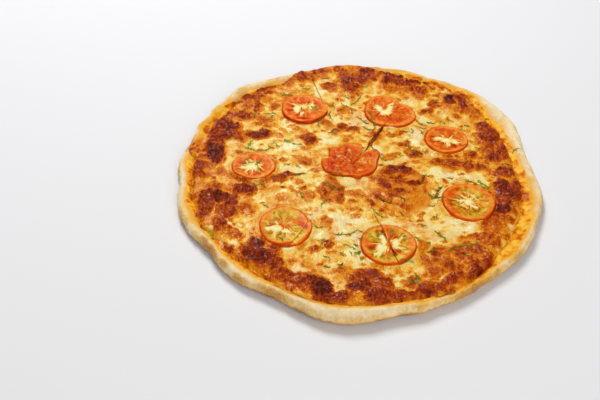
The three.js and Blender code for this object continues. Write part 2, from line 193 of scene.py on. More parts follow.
# bearing, distance to the edge, width of bare crust, width of oily sauce band, height of the rim
EDGE = np.array([
    [0, 156.5, 10, 8, 9], [15, 159, 13, 6.5, 9.5], [30, 166, 12, 12, 9.5], [45, 160, 5, 7, 8.5],
    [60, 153.5, 4, 8, 8], [75, 151, 3.5, 7, 8], [90, 148, 3.5, 2, 8], [105, 143.5, 3.5, 2, 8],
    [120, 144, 9, 5, 10], [135, 149.5, 13.5, 3, 11.5], [150, 145.5, 4.5, 8, 9], [165, 143.5, 4, 8, 9],
    [180, 147, 7, 7, 9.5], [195, 149.5, 8.5, 5, 10], [210, 152, 8, 6, 10], [225, 153.5, 8.5, 5, 10],
    [240, 155, 8, 6, 10.5], [255, 161, 9, 4.5, 12], [270, 164.5, 11.5, 4.5, 12.5], [285, 158, 6, 7, 10.5],
    [300, 157.5, 3.5, 6, 9], [315, 157.5, 5, 7, 9], [330, 159, 5, 13, 9], [345, 157.5, 7, 9.5, 9],
])
# where a cut has opened: bearing, from, to, extra width
OPENINGS = [
    (62, 8, 78, 3.4), (62, 134, 172, 0.6), (106, 60, 150, 0.8), (106, 128, 162, 0.6),
    (286, 38, 130, 0.7), (242, 60, 95, 0.5), (17, 60, 100, 0.3), (331, 75, 120, 0.4),
]
# middle, half length, half width, turn, height
CRAGS = [
    (-6, 128, 22, 14, 80, 1.9), (34, 136, 15, 11, -10, 2.0), (60, 126, 14, 8, -35, 1.3),
    (90, 100, 21, 13, -55, 1.6), (118, 48, 23, 10, -75, 1.6), (124, -8, 26, 10, -88, 1.8),
    (117, -38, 14, 11, 70, 1.9), (92, -92, 30, 12, 42, 1.6), (54, -110, 17, 9, 25, 1.4),
    (3, -127, 21, 11, 5, 1.8), (-35, -125, 15, 9, -25, 1.8), (-76, -98, 21, 13, -40, 2.3),
    (-108, -62, 17, 8, -60, 1.3), (-119, -38, 22, 14, -75, 1.8), (-134, -6, 20, 8, 85, 1.4),
    (-112, 53, 22, 15, 35, 1.9), (-96, 96, 23, 9, 35, 1.5), (-52, 136, 12, 7, 25, 1.3),
    (-84, 49, 16, 4, 12, 1.1), (-92, -21, 12, 8, 20, 1.2), (-60, -7, 20, 5, 8, 1.2),
    (-24, -20, 9, 12, 10, 1.2), (73, 15, 12, 8, 10, 1.2), (97, 14, 10, 7, -5, 1.1),
    (-26, 120, 12, 7, -10, 1.2), (-9, 84, 7, 10, 0, 0.8), (-44, 44, 6, 9, 15, 0.8),
]
BLISTER = {"at": (31, -16), "reach": 29, "height": 4.5, "fold": 2.6}
CURD = {"at": (-9.4, -11.5), "half": (7.4, 6), "height": 2.4}
# the crease under the fold of cheese on the bubble: across, up
CREASE = np.array([[20, -3], [25, -6.5], [32, -8.6], [41, -14.6], [46, -14.4], [50, -12], [56, -5]])
# how far the cheese ran past its even edge, or fell short of it: bearing, millimetres
SPILLS = np.array([
    [0, 0], [12, 0], [22, 2], [27, 0], [40, 0], [44, 4.5], [47, 2], [50, 1], [52, 3.5], [54, 1], [58, 5],
    [60, 1], [66, -0.5], [72, 1.5], [76, 1], [80, 5], [86, 5.5], [97, 5.5], [106, 5], [109, 8],
    [112, 6.5], [116, 2], [125, 1], [128, 2.5], [134, 1.5], [140, 1.5], [146, 0.5], [152, -1.5],
    [158, -1], [164, -0.5], [167, 6], [171, 11.5], [175, 9], [178, 1], [190, 0.5], [196, 1.5], [199, 3.5],
    [203, 1], [207, 4], [209, 1.5], [212, 5], [215, 0], [219, -2], [222, -1], [225, 3.5], [227, 0],
    [235, 1], [244, 3], [250, 2], [258, 2], [268, 0.5], [277, 3], [284, 1.5], [289, 2.5], [293, 6],
    [298, 5.5], [302, 4], [307, 1.5], [314, 0.5], [318, 1.5], [322, 0.5], [327, 3], [332, 1.5],
    [338, 2.5], [344, 1], [348, 0], [353, 3], [357, 1],
])
# how far the sauce ran past its even edge, or fell short of it: bearing, millimetres
SAUCE_RUNS = np.array([
    [0, 0], [10, -1.2], [20, -1.6], [25, -3.5], [30, -6.5], [33, -6], [36, -3], [40, 0], [45, 0.5],
    [60, -0.8], [70, 0], [112, -1], [115, -2], [120, -1], [125, 0], [180, 0], [190, -1], [196, 0.5],
    [200, 3], [205, 0.5], [220, -1.5], [225, 0.5], [232, -1.5], [240, 0], [243, 3], [247, 0], [270, 0],
    [276, 2], [284, 0],
])
# how hands pushed the rim out or in: bearing, millimetres
HAND_SHAPED = np.array([
    [0, -2.2], [3, -3.2], [7, -4.6], [11, -4.2], [15, -2.8], [20, -2], [24, -2.2], [29, -3], [34, -2.4],
    [38, 0], [41, 1.2], [46, 0.6], [60, 0], [65, 0.4], [69, 2.3], [72, 1.2], [76, -0.6], [85, -0.2],
    [90, 1.4], [97, 0.9], [102, 0], [110, 0.4], [113, -0.4], [118, -1.2], [126, -1.1], [129, 0],
    [133, -0.2], [138, -1.1], [145, -1], [150, 0], [153, -1.2], [156, -0.5], [160, 2], [163, 0.5],
    [167, -0.7], [170, -2], [173, -1], [180, 0.1], [184, -0.1], [188, -2.5], [192, -2.2], [196, -0.4],
    [200, 0.8], [210, 0.6], [215, -1.9], [219, -3.4], [222, -3.2], [226, -1], [230, 0.2], [234, 1.2],
    [238, 0.5], [241, -1], [246, -2.7], [250, -3.1], [254, -2], [258, -0.5], [262, 0.5], [266, 0.5],
    [270, -1.5], [275, -2.4], [280, -1.8], [284, -0.2], [288, 0.8], [292, -0.5], [300, -1.1], [310, -2],
    [315, -1.5], [320, -0.4], [325, 0], [330, -1], [335, -1], [345, 1], [350, 1.5], [355, 0.2],
])

# %% [markdown]
# Eight slices of tomato lie on the cheese. A cut through a slice can leave its two parts a little
# apart, so a part may have its own middle, size and height. Four cuts tore the slice in the middle.

# %% Slices of tomato on the plan
TOMATO, TOMATO_SINK = 3.6, 1.0       # thickness of a slice, and of it what lies in its level bed
LIPS = [0.2, 1.2, 1.2, 3.0, 0.4, 2.0, 1.4, 1.4]   # how far the cheese stands up round each slice
TOMATOES = [
    {"at": (-47.2, 83.8), "half": (21.2, 20.1), "turn": 0, "on": {3: {}}},
    {"at": (25.3, 84), "half": (18, 22.5), "turn": 0, "on": {
        1: {"at": (34, 79.5), "half": (19.7, 18.2), "rise": -0.6, "plain": True}, 2: {}}},
    {"at": (77.8, 45.8), "half": (19.2, 18.3), "turn": 20, "on": {1: {}, 8: {"rise": -0.3}}},
    {"at": (-88.4, 3.6), "half": (18.4, 17), "turn": 0, "on": {4: {}}},
    {"at": (-8, 13.7), "half": (23.1, 18.5), "turn": -8, "on": {
        1: {"at": (-7, 14.5), "rise": -0.3}, 2: {"at": (-7.5, 17.2), "rise": 0.8}, 3: {"rise": 0.2}, 4: {},
        5: {"at": (-8.8, 13.2)}, 6: {"at": (-7.6, 12.6), "rise": 0.4}, 7: {"at": (-7, 12.8)},
        8: {"at": (-6.5, 13.7), "rise": -0.2}}},
    {"at": (-60.8, -65), "half": (19.4, 21), "turn": -12, "on": {
        5: {}, 6: {"at": (-58, -67), "rise": -0.5}}},
    {"at": (19.7, -82.4), "half": (21.5, 20.6), "turn": 0, "on": {
        6: {}, 7: {"at": (20, -81.8), "rise": 0.4}}},
    {"at": (87.7, -32.4), "half": (21.3, 21.8), "turn": 30, "on": {7: {"rise": -0.3}, 8: {}}},
]
MASHED = 4                           # the slice in the middle, which four cuts tore
# its torn outline: bearing and distance from where the cuts cross
TORN = np.array([
    [8, 21.5], [21, 23.5], [38, 29.5], [45, 28.5], [50, 25.5], [57, 18], [63, 17], [67, 21], [73, 29],
    [105, 28], [109, 24], [129, 29], [133, 28.5], [153, 22], [160, 22.5], [165, 27], [200, 24.5],
    [232, 17], [262, 14.5], [281, 16], [288, 16.5], [300, 15], [330, 18], [355, 20.5],
])

# %% [markdown]
# The plan is read as a distance and a bearing from where the cuts cross, because the rim, the bands
# and the cuts all run round that point. A curve through the rows of a table gives a smooth rim from
# few numbers, and straight lines between the rows give an edge that is rough.

# %% Reading the plan
def edge(column, bearing):
    """A column of EDGE at a bearing, on a smooth closed curve through its rows."""
    step = 360 / len(EDGE)
    place = np.mod(bearing, 360) / step
    row = np.floor(place).astype(int)
    t = place - row
    a, b, c, d = (EDGE[(row + k) % len(EDGE), column] for k in (-1, 0, 1, 2))
    bend = (2 * a - 5 * b + 4 * c - d) * t ** 2
    return 0.5 * (2 * b + (c - a) * t + bend + (3 * b - a - 3 * c + d) * t ** 3)


def read_round(table, bearing):
    """The second column of a table at a bearing, straight from row to row right round the pizza."""
    return np.interp(bearing, table[:, 0], table[:, 1], period=360)


def turned_from(at, bearing):
    """How far a bearing is turned from another one, from -180 to 180 degrees."""
    return np.mod(bearing - at + 180, 360) - 180


def rim_at(bearing):
    return edge(1, bearing)


def sauce_edge_at(bearing):
    return rim_at(bearing) - edge(2, bearing)


def cheese_edge_at(bearing):
    return sauce_edge_at(bearing) - edge(3, bearing)


def sauce_end_at(bearing):
    """Where the sauce really ends at a bearing."""
    return sauce_edge_at(bearing) + read_round(SAUCE_RUNS, bearing)


def polar(x, y):
    """Distance and bearing in degrees from where the cuts cross."""
    dx, dy = x - CUT_CENTRE[0], y - CUT_CENTRE[1]
    return np.hypot(dx, dy), np.degrees(np.arctan2(dy, dx))


def plan_point(distance, bearing):
    """Plan position at a distance and a bearing in degrees from where the cuts cross."""
    angle = np.radians(bearing)
    return CUT_CENTRE[0] + distance * np.cos(angle), CUT_CENTRE[1] + distance * np.sin(angle)


def carried_out(x, y, share):
    """The same points at `share` times their distance from where the cuts cross."""
    return CUT_CENTRE[0] + (x - CUT_CENTRE[0]) * share, CUT_CENTRE[1] + (y - CUT_CENTRE[1]) * share


def hand_shaped(x, y):
    """The same points after hands have pushed the rim about: dough and topping move together."""
    distance, bearing = polar(x, y)
    rim, push = rim_at(bearing), read_round(HAND_SHAPED, bearing)
    return carried_out(x, y, 1 + push * smoothstep(distance, rim - HANDS_REACH, rim) / distance)


ends = CUT_BEARINGS[1:] + CUT_BEARINGS[:1]
wedges = [(a, b if b > a else b + 360) for a, b in zip(CUT_BEARINGS, ends)]
print(len(wedges), "wedges,", len(TOMATOES), "slices of tomato")

# %% [markdown]
# ## Patterns that food makes
#
# Three patterns do most of the work. Noise is a rolling surface, for swells and stains. Bubbles are
# rounded knobs that meet in sharp valleys, which is how cheese looks where steam has blown it up and
# the oven has browned it. Ovals with soft edges say where on the pizza something is. The points are
# first pushed about by noise, so that no oval shows as an oval.

# %% Noise, bubbles and ovals
def corner_value(i, j, seed):
    """A number from 0 to 1 for each corner of a grid, the same on every run."""
    wave = np.sin(i * 127.1 + j * 311.7 + seed * 74.7) * 43758.5453
    return wave - np.floor(wave)


def noise(x, y, cell, seed):
    """Smooth noise from -1 to 1 with bumps about `cell` wide."""
    u, v = x / cell, y / cell
    i, j = np.floor(u), np.floor(v)
    s, t = smoothstep(u - i, 0, 1), smoothstep(v - j, 0, 1)
    low = lerp(corner_value(i, j, seed), corner_value(i + 1, j, seed), s)
    high = lerp(corner_value(i, j + 1, seed), corner_value(i + 1, j + 1, seed), s)
    return 2 * lerp(low, high, t) - 1


def in_band(value, start, full, fading, gone):
    """0 outside a band and 1 inside it, with soft sides."""
    return smoothstep(value, start, full) * (1 - smoothstep(value, fading, gone))


def bubbles(x, y, cell, seed):
    """Rounded knobs about `cell` wide: 1 on top of a knob, 0 in the valleys between."""
    u, v = x / cell, y / cell
    i, j = np.floor(u), np.floor(v)
    nearest = np.full(np.shape(u), 9.0)
    for a in (-1, 0, 1):
        for b in (-1, 0, 1):
            du = i + a + 0.1 + 0.8 * corner_value(i + a, j + b, seed) - u
            dv = j + b + 0.1 + 0.8 * corner_value(i + a, j + b, seed + 31) - v
            nearest = np.minimum(nearest, du * du + dv * dv)
    return 1 - np.clip(nearest, 0, 1)


def oval_share(x, y, at, half_a, half_b, turn):
    """Distance from an oval's middle as a share of its half widths: 1 on the oval."""
    c, s = math.cos(math.radians(turn)), math.sin(math.radians(turn))
    dx, dy = x - at[0], y - at[1]
    return np.hypot((dx * c + dy * s) / half_a, (dy * c - dx * s) / half_b)


def stirred(x, y):
    """The same points pushed about, so that edges drawn through them come out ragged."""
    widths = ((9, 2.2), (4, 1.2), (1.8, 0.6))
    across, up = (sum(far * noise(x, y, cell, 40 + 2 * k + way) for k, (cell, far) in enumerate(widths))
                  for way in (0, 1))
    return x + across, y + up


def cheese_end_at(bearing):
    """Where the melted cheese really ends at a bearing, with its ragged outline."""
    even = cheese_edge_at(bearing)
    x, y = even * np.cos(np.radians(bearing)), even * np.sin(np.radians(bearing))
    return even + read_round(SPILLS, bearing) + (1.1 * noise(x, y, 6, 111) + 0.6 * noise(x, y, 3, 112))


# %% [markdown]
# ## Where the cheese has browned
#
# A pizza browns where the cheese stands up and near the rim, where the oven is hottest. Each row is
# one browned patch: its middle, half length, half width, turn and how far it has gone, from 0.4 for
# gold over 1 for dark brown to 1.15 for nearly burnt. Between these patches a seeded scatter adds the
# small spots.

# %% Browned patches
BROWNED = [
    # back left
    (-52, 135, 9, 7, 10, 0.85), (-65, 127, 9, 3, 45, 0.8), (-85, 113, 10, 4, 25, 0.85),
    (-107, 97, 9, 5, 25, 0.85), (-92, 99, 9, 6, 5, 0.8), (-82, 97, 5, 4, 0, 0.6),
    (-74, 88, 4, 5, -40, 0.8), (-100, 87, 4, 5, -60, 0.65), (-89, 84, 3, 6, -20, 0.8),
    (-112, 92, 5, 4, 0, 0.8), (-103, 72, 9, 6, -10, 0.95), (-115, 75, 5, 4, 0, 0.8),
    (-84, 69, 8, 4, -30, 0.65), (-84, 61, 8, 3, 0, 0.5), (-73, 61, 5, 3, 0, 0.5), (-66, 55, 4, 3, 0, 0.5),
    (-52, 56, 5, 3, 0, 0.6), (-52, 122, 4, 3, 0, 0.55), (-121, 62, 9, 10, 50, 1.0),
    (-110, 54, 7, 6, 0, 1.05),
    # left
    (-130, 50, 5, 8, 0, 0.75), (-118, 46, 13, 8, 0, 0.95), (-104, 45, 9, 6, 0, 0.8),
    (-87, 47, 13, 4, 4, 0.9), (-124, 35, 7, 7, 0, 0.9), (-123, 21, 7, 13, 8, 1.05),
    (-140, 26, 8, 7, 20, 0.72), (-133, 20, 6, 8, 0, 0.72), (-130, 5, 8, 6, 0, 0.9),
    (-133, -6, 5, 8, 0, 0.85), (-120, -22, 9, 5, 0, 0.72), (-112, -4, 6, 4, 0, 0.6),
    (-100, -10, 10, 4, -20, 0.72), (-97, -22, 9, 7, -10, 0.95), (-88, -24, 4, 6, 0, 0.85),
    (-104, -28, 3, 7, 0, 0.8), (-118, -33, 10, 6, 0, 1.0), (-112, -36, 6, 6, 0, 1.05),
    (-124, -45, 6, 10, 0, 1.0), (-105, -39, 4, 10, -5, 0.95), (-108, -51, 8, 7, 0, 0.95),
    (-92, -45, 8, 5, 0, 0.62), (-90, -36, 4, 4, 0, 0.5), (-126, -54, 6, 5, 0, 0.72),
    (-71, -12, 9, 4, 25, 0.78), (-65, -7, 7, 3, 25, 1.0), (-57, -6, 6, 2, 0, 0.7),
    (-72, -21, 6, 4, 0, 0.45), (-62, -32, 6, 4, 0, 0.5), (-56, -20, 3, 3, 0, 0.5),
    (-45, 14, 9, 3.5, -25, 0.66), (-38, 2, 8, 2.2, 10, 0.6),
    # front left
    (-113, -63, 6, 8, 20, 0.85), (-104, -71, 9, 4, -20, 0.8), (-98, -75, 4, 4, 0, 0.75),
    (-104, -89, 5, 4.5, 0, 0.75), (-101, -99, 2, 2, 0, 0.6), (-82, -86, 7, 7, 0, 1.1),
    (-87, -93, 6, 5, 0, 1.05), (-77, -97, 12, 8, -40, 1.05), (-64, -110, 11, 7, -42, 0.9),
    (-66, -104, 9, 6, -50, 0.95), (-66, -92, 5, 8, 0, 0.8), (-75, -107, 8, 4, -20, 0.85),
    (-65, -119, 5, 3, 0, 0.8),
    # front
    (-56, -116, 8, 6, -20, 0.9), (-45, -120, 9, 8, -10, 0.85), (-32, -125, 9, 7, -10, 1.1),
    (-35, -118, 10, 3, -15, 1.0), (-27, -135, 7, 4, 0, 0.85), (-16, -133, 8, 5, 0, 0.85),
    (-2, -124, 8, 6, 0, 1.1), (2, -113, 12, 6, 0, 0.82), (14, -121, 8, 6, 0, 0.88),
    (10, -134, 11, 6, 0, 0.92), (24, -133, 8, 5, 0, 0.88), (30, -129, 9, 3, 10, 0.85),
    (36, -118, 8, 4, 20, 0.75), (51, -123, 10, 7, 10, 0.88), (52, -106, 6, 5, 0, 0.78),
    (58, -95, 9, 5, 0, 0.68), (48, -94, 4, 4, 0, 0.65), (59, -86, 5, 5, 0, 0.85),
    (66, -114, 13, 5, 25, 0.82), (68, -102, 8, 5, 0, 0.75),
    # front right
    (76, -85, 8, 5, 0, 0.78), (85, -106, 13, 5, 38, 0.9), (88, -83, 8, 5, 0, 0.88),
    (92, -97, 8, 5, 30, 0.82), (80, -95, 7, 5, 0, 0.65), (92, -69, 8, 4, 20, 0.9),
    (100, -74, 7, 8, 0, 0.78), (104, -57, 7, 9, 0, 0.72), (107, -45, 6, 5, 0, 0.78),
    (116, -50, 7, 4, 0, 0.72), (110, -64, 8, 5, 0, 0.55), (128, -57, 2.5, 5, 0, 0.55),
    # right
    (114, -38, 8, 6, 0, 1.05), (117, -27, 8, 7, 0, 0.95), (123, -18, 9, 8, 0, 1.05),
    (119, -12, 7, 6, 0, 0.95), (130, -22, 5, 6, 0, 0.9), (131, -6, 5, 7, 0, 0.75),
    (121, 5, 8, 6, 0, 0.95), (128, 9, 5, 5, 0, 0.8), (120, 27, 10, 6, 0, 0.9), (120, 38, 10, 8, 0, 0.86),
    (117, 52, 9, 8, 0, 0.92), (114, 64, 6, 8, 0, 0.82), (123, 63, 6, 7, 0, 0.66), (98, 28, 5, 4, 0, 0.85),
    (107, 24, 6, 3, 0, 0.65), (77, 16, 11, 5.5, 0, 0.85), (92, 14, 5, 6, 0, 0.88),
    (103, 12, 5, 4, 0, 0.88), (75, 8, 7, 4, 0, 0.45), (125, 82, 4, 2.5, 0, 0.55),
    # back right
    (53, 130, 8, 7, 0, 0.88), (53, 121, 6, 5, 0, 0.72), (68, 131, 4, 4.5, 0, 1.0),
    (64, 119, 4, 5, 0, 0.82), (61, 110, 4, 4, 0, 0.6), (84, 125, 4, 2.5, 0, 0.75),
    (77, 111, 4, 3, 0, 0.8), (86, 105, 5, 7, 0, 1.1), (72, 97, 6, 4, 0, 0.85), (65, 86, 7, 3.5, 40, 0.9),
    (93, 109, 3, 6, 0, 0.78), (99, 102, 5, 12, 0, 0.95), (108, 93, 6, 6, 0, 0.7), (88, 92, 9, 5, 0, 0.62),
    (70, 77, 7, 3, 0, 0.5), (108, 82, 4, 8, -20, 0.55),
    # back
    (37, 141, 9, 5, 0, 1.15), (33, 132, 8, 5, 30, 1.05), (41, 130, 6, 5, 0, 0.85),
    (33, 120, 10, 4, 0, 0.7), (12, 146, 8, 6, 0, 1.0), (17, 138, 7, 6, 0, 0.85), (3, 134, 8, 8, 0, 0.9),
    (-9, 134, 6, 14, 10, 0.92), (-4, 119, 10, 7, 0, 0.85), (-4, 109, 10, 5, 0, 0.5),
    (-3, 149, 10, 7, 0, 0.62), (-16, 147, 5, 4, 20, 0.85), (-34, 145, 6, 5, 0, 0.75),
    (-26, 120, 9, 5, -25, 0.8),
    # middle
    (-42, 44, 5, 8, 15, 0.8), (-22, -10, 4, 5, 0, 0.72), (-27, -20, 6, 6, 0, 0.82),
    (-16, -27, 4, 9, 0, 0.86), (-24, -32, 6, 6, 0, 0.6), (-42, -29, 5, 6, 0, 0.6),
    (-7, -25, 5, 3.5, 0, 0.72), (17, 50, 6, 7, 0, 0.62), (39, 40, 6, 3.5, -15, 0.75),
    (48, 28, 5, 5, 0, 0.8), (29, 24, 3, 4, 0, 0.55), (-19, 54, 4, 6, 0, 0.6), (-14, 62, 4, 5, 0, 0.8),
    (-5, 58, 6, 4.5, 0, 0.8), (-24, 65, 5, 3, -30, 0.62), (36, 56, 4, 3, 0, 0.62),
    (10, -38, 2.2, 2.2, 0, 0.95), (22, -12, 4, 5, -20, 0.7), (20.5, -18, 7, 2.2, -30, 0.9),
    (17, -31, 9, 2.6, -28, 0.8), (26, -24, 6, 2, -20, 0.65), (13, -23, 4, 2, -30, 0.65),
    (54, -17, 1.8, 9, 5, 0.66), (51, -31, 1.8, 6, -30, 0.62), (-10, 85, 6, 6, 0, 0.68),
    (-8, 76, 5, 5, 0, 0.42), (-36, -87, 4.5, 3.5, 0, 0.8), (-26, -81, 4, 5, 0, 0.75),
    (-28, -58, 5, 5, 0, 0.58), (-13, -106, 6, 3, 0, 0.55), (20, -113, 4, 3, 0, 0.58),
    (49, -79, 3, 4, 0, 0.62),
]
print(len(BROWNED), "browned patches")

# %% [markdown]
# Pale, milky pools of mozzarella lie where the cheese was thickest, and the bubble in the dough has
# hardly any cheese on it, so the orange sauce shows through. Three numbers are worked out for every
# point of the cheese: how brown, how milky and how oily it is. The brown number also carries shade
# painted into the crease on the bubble, and the milky one carries glints painted pale on its skin.

# %% Milky pools and pale pockets
# middle, half length, half width, turn, strength
MILKY = [
    (-12, -56, 15, 8, -10, 0.9), (-14, -72, 12, 5, 0, 0.8), (-58, -88, 9, 4, 20, 0.9),
    (-40, -48, 9, 7, 0, 0.5), (-4, -90, 8, 9, 0, 0.7), (80, -56, 12, 6, -15, 0.9),
    (85, -1, 15, 5, 0, 0.9), (64, 2, 5, 7, 0, 1.0), (52, 50, 6, 10, 0, 1.0), (51, 103, 6, 6, 0, 0.8),
    (-34, 112, 9, 7, -20, 0.9), (-38, 72, 9, 6, 0, 0.6), (98, 50, 4, 12, 0, 0.5), (17, 28, 5, 9, 0, 0.7),
    (-60, 33, 10, 5, 0, 0.8), (-48, 8, 4, 5, 0, 0.7), (-100, 34, 14, 7, 0, 0.35),
    (14, -108, 9, 4, 0, 0.6), (0, 72, 9, 8, 0, 0.5), (34, -60, 20, 4, 0, 0.4), (-27, 39, 9, 6, 0, 0.6),
    (-18, -120, 8, 7, 0, 0.3), (-25, 131, 7, 4, 0, 0.4),
]
# pale pockets in the browned ring: bearing, millimetres in from the rim, half width round, half in, strength
POCKETS = [
    (31, 14, 6, 8, 1), (38.5, 12, 3, 8, 0.8), (51, 12, 3, 9, 0.8), (60.5, 20, 1.6, 12, 1),
    (67, 24, 5, 6, 0.6), (79, 30, 4, 5, 0.7), (101, 20, 8, 6, 0.9), (105, 28, 6, 5, 0.8),
    (112, 22, 10, 6, 0.8), (121, 22, 8, 9, 0.8), (143, 20, 5, 5, 0.7), (130, 28, 6, 4, 0.5),
    (163, 32, 9, 5, 1), (192, 10, 3, 4, 0.4), (196, 30, 4, 8, 0.5), (219, 12, 9, 4, 1),
    (225, 18, 4, 8, 1), (218, 28, 10, 6, 1), (250, 33, 12, 5, 1), (264, 30, 8, 6, 1),
    (285, 24, 10, 10, 0.9), (297, 21, 9, 2.4, 1), (322, 16, 8, 6, 0.5), (333, 18, 10, 6, 0.8),
    (341, 14, 3, 6, 0.5), (352, 32, 4, 6, 0.6), (208, 9, 8, 3, 0.8), (236, 9, 8, 3, 0.8),
    (214, 15, 3, 5, 0.8), (202, 14, 3, 5, 0.5),
]
DARK_EDGED_CUT = 62                      # the cheese is darker along both sides of this cut
DARK_EDGES = (26, 33, 62, 76)            # the darkening starts, is full, fades and is gone: from the crossing
SPOT_CELL = 8.5                      # one small spot at most in each square of this width
BROWN_RING = (0.74, 0.94)            # the ring near the rim starts and is full: shares of the cheese's reach
ARCH_REACH = (12.5, 17.5, 23.5, 27.5)   # the dark arch on the bubble: distances from the bubble's middle
ARCH_TURN = (10, 34, 104, 136)       # and the same arch in degrees round it
CREASE_RUN = (19, 27, 51, 58)        # the crease under the arch, from its left end to its right end

# %% [markdown]
# Browned patches overlap, so the strongest one counts at each point. The small spots lie one to a
# square, moved about inside it: that scatters them evenly and shows no rows.

# %% Ovals, spots and pockets
def ovals(x, y, rows, inner=0.3, outer=1.25):
    """The strongest of a list of soft ovals at each point."""
    strength = np.zeros(np.shape(x))
    for at_x, at_y, half_a, half_b, turn, depth in rows:
        share = oval_share(x, y, (at_x, at_y), half_a, half_b, turn)
        strength = np.maximum(strength, depth * (1 - smoothstep(share, inner, outer)))
    return strength


def small_spots(x, y, chance):
    """Gold to brown spots of 2 to 6 mm, where `chance` lets a square have one."""
    i, j = np.floor(x / SPOT_CELL), np.floor(y / SPOT_CELL)
    strength = np.zeros(np.shape(x))
    for a in (-1, 0, 1):
        for b in (-1, 0, 1):
            p, q = i + a, j + b
            at_x, at_y = (p + corner_value(p, q, 61)) * SPOT_CELL, (q + corner_value(p, q, 62)) * SPOT_CELL
            radius = 1.7 + 2.6 * corner_value(p, q, 63) ** 2
            depth = (0.3 + 0.42 * corner_value(p, q, 64)) * (corner_value(p, q, 65) < chance)
            share = np.hypot((x - at_x) / 1.3, y - at_y) / radius
            strength = np.maximum(strength, depth * (1 - smoothstep(share, 0.3, 1.5)))
    return strength


def blister_share(x, y):
    return np.hypot(x - BLISTER["at"][0], y - BLISTER["at"][1]) / BLISTER["reach"]


def pockets(x, y):
    """The strongest of the pale pockets at each point."""
    distance, bearing = polar(x, y)
    inset = rim_at(bearing) - distance
    strength = np.zeros(np.shape(x))
    for at, depth, half_round, half_in, most in POCKETS:
        round_it = np.radians(turned_from(at, bearing)) * distance
        share = np.hypot(round_it / half_round, (inset - depth) / half_in)
        strength = np.maximum(strength, most * (1 - smoothstep(share, 0.5, 1.4)))
    return strength


# %% [markdown]
# The bubble blew up until its skin was tight. It browned in an arch over its back, and in front of
# the arch the cheese folded over into a crease, whose shade is painted dark into the cheese.

# %% Marks on the bubble
def bubble_marks(x, y):
    """The dark arch on the bubble, its darkest part, and the pale ridge down the bubble's left side."""
    dx, dy = x - BLISTER["at"][0], y - BLISTER["at"][1]
    reach, angle = np.hypot(dx, dy), np.degrees(np.arctan2(dy, dx))
    arch = in_band(reach, *ARCH_REACH) * in_band(angle, *ARCH_TURN)
    darkest = np.exp(-((angle - 68) / 24) ** 2) * np.exp(-((reach - 19.5) / 4.5) ** 2)
    ridge = np.exp(-((reach - 26) / 2.4) ** 2) * smoothstep(-dx, 4, 15) * smoothstep(dy, -12, 2)
    return arch, darkest, ridge


def crease(x, y):
    """How far behind the crease on the bubble a point lies, and 1 where the crease is deep."""
    return y - np.interp(x, CREASE[:, 0], CREASE[:, 1]), in_band(x, *CREASE_RUN)


def crinkles(x, y):
    """Skin that shrank as it browned: fine ridges over soft knobs, from about -0.6 to 0.6."""
    sx, sy = x + 2 * noise(x, y, 7, 69), y + 2 * noise(x, y, 7, 70)
    coarse, fine = ((1 - np.abs(noise(sx, sy, cell, seed))) ** 2 - 0.45
                    for cell, seed in ((5.2, 72), (2.6, 67)))
    return 0.9 * (bubbles(sx, sy, 7, 71) - 0.62) + 0.55 * coarse + 0.5 * fine


def curd_share(x, y):
    return oval_share(x, y, CURD["at"], *CURD["half"], 0)


# %% [markdown]
# All of it is laid over each other like coats of paint, from what is widest to what lies on top. One
# function gives all four numbers, because they depend on each other: no milky pool lies in the
# browned ring or on the oily bubble, and cheese that has browned doesn't run out thin.

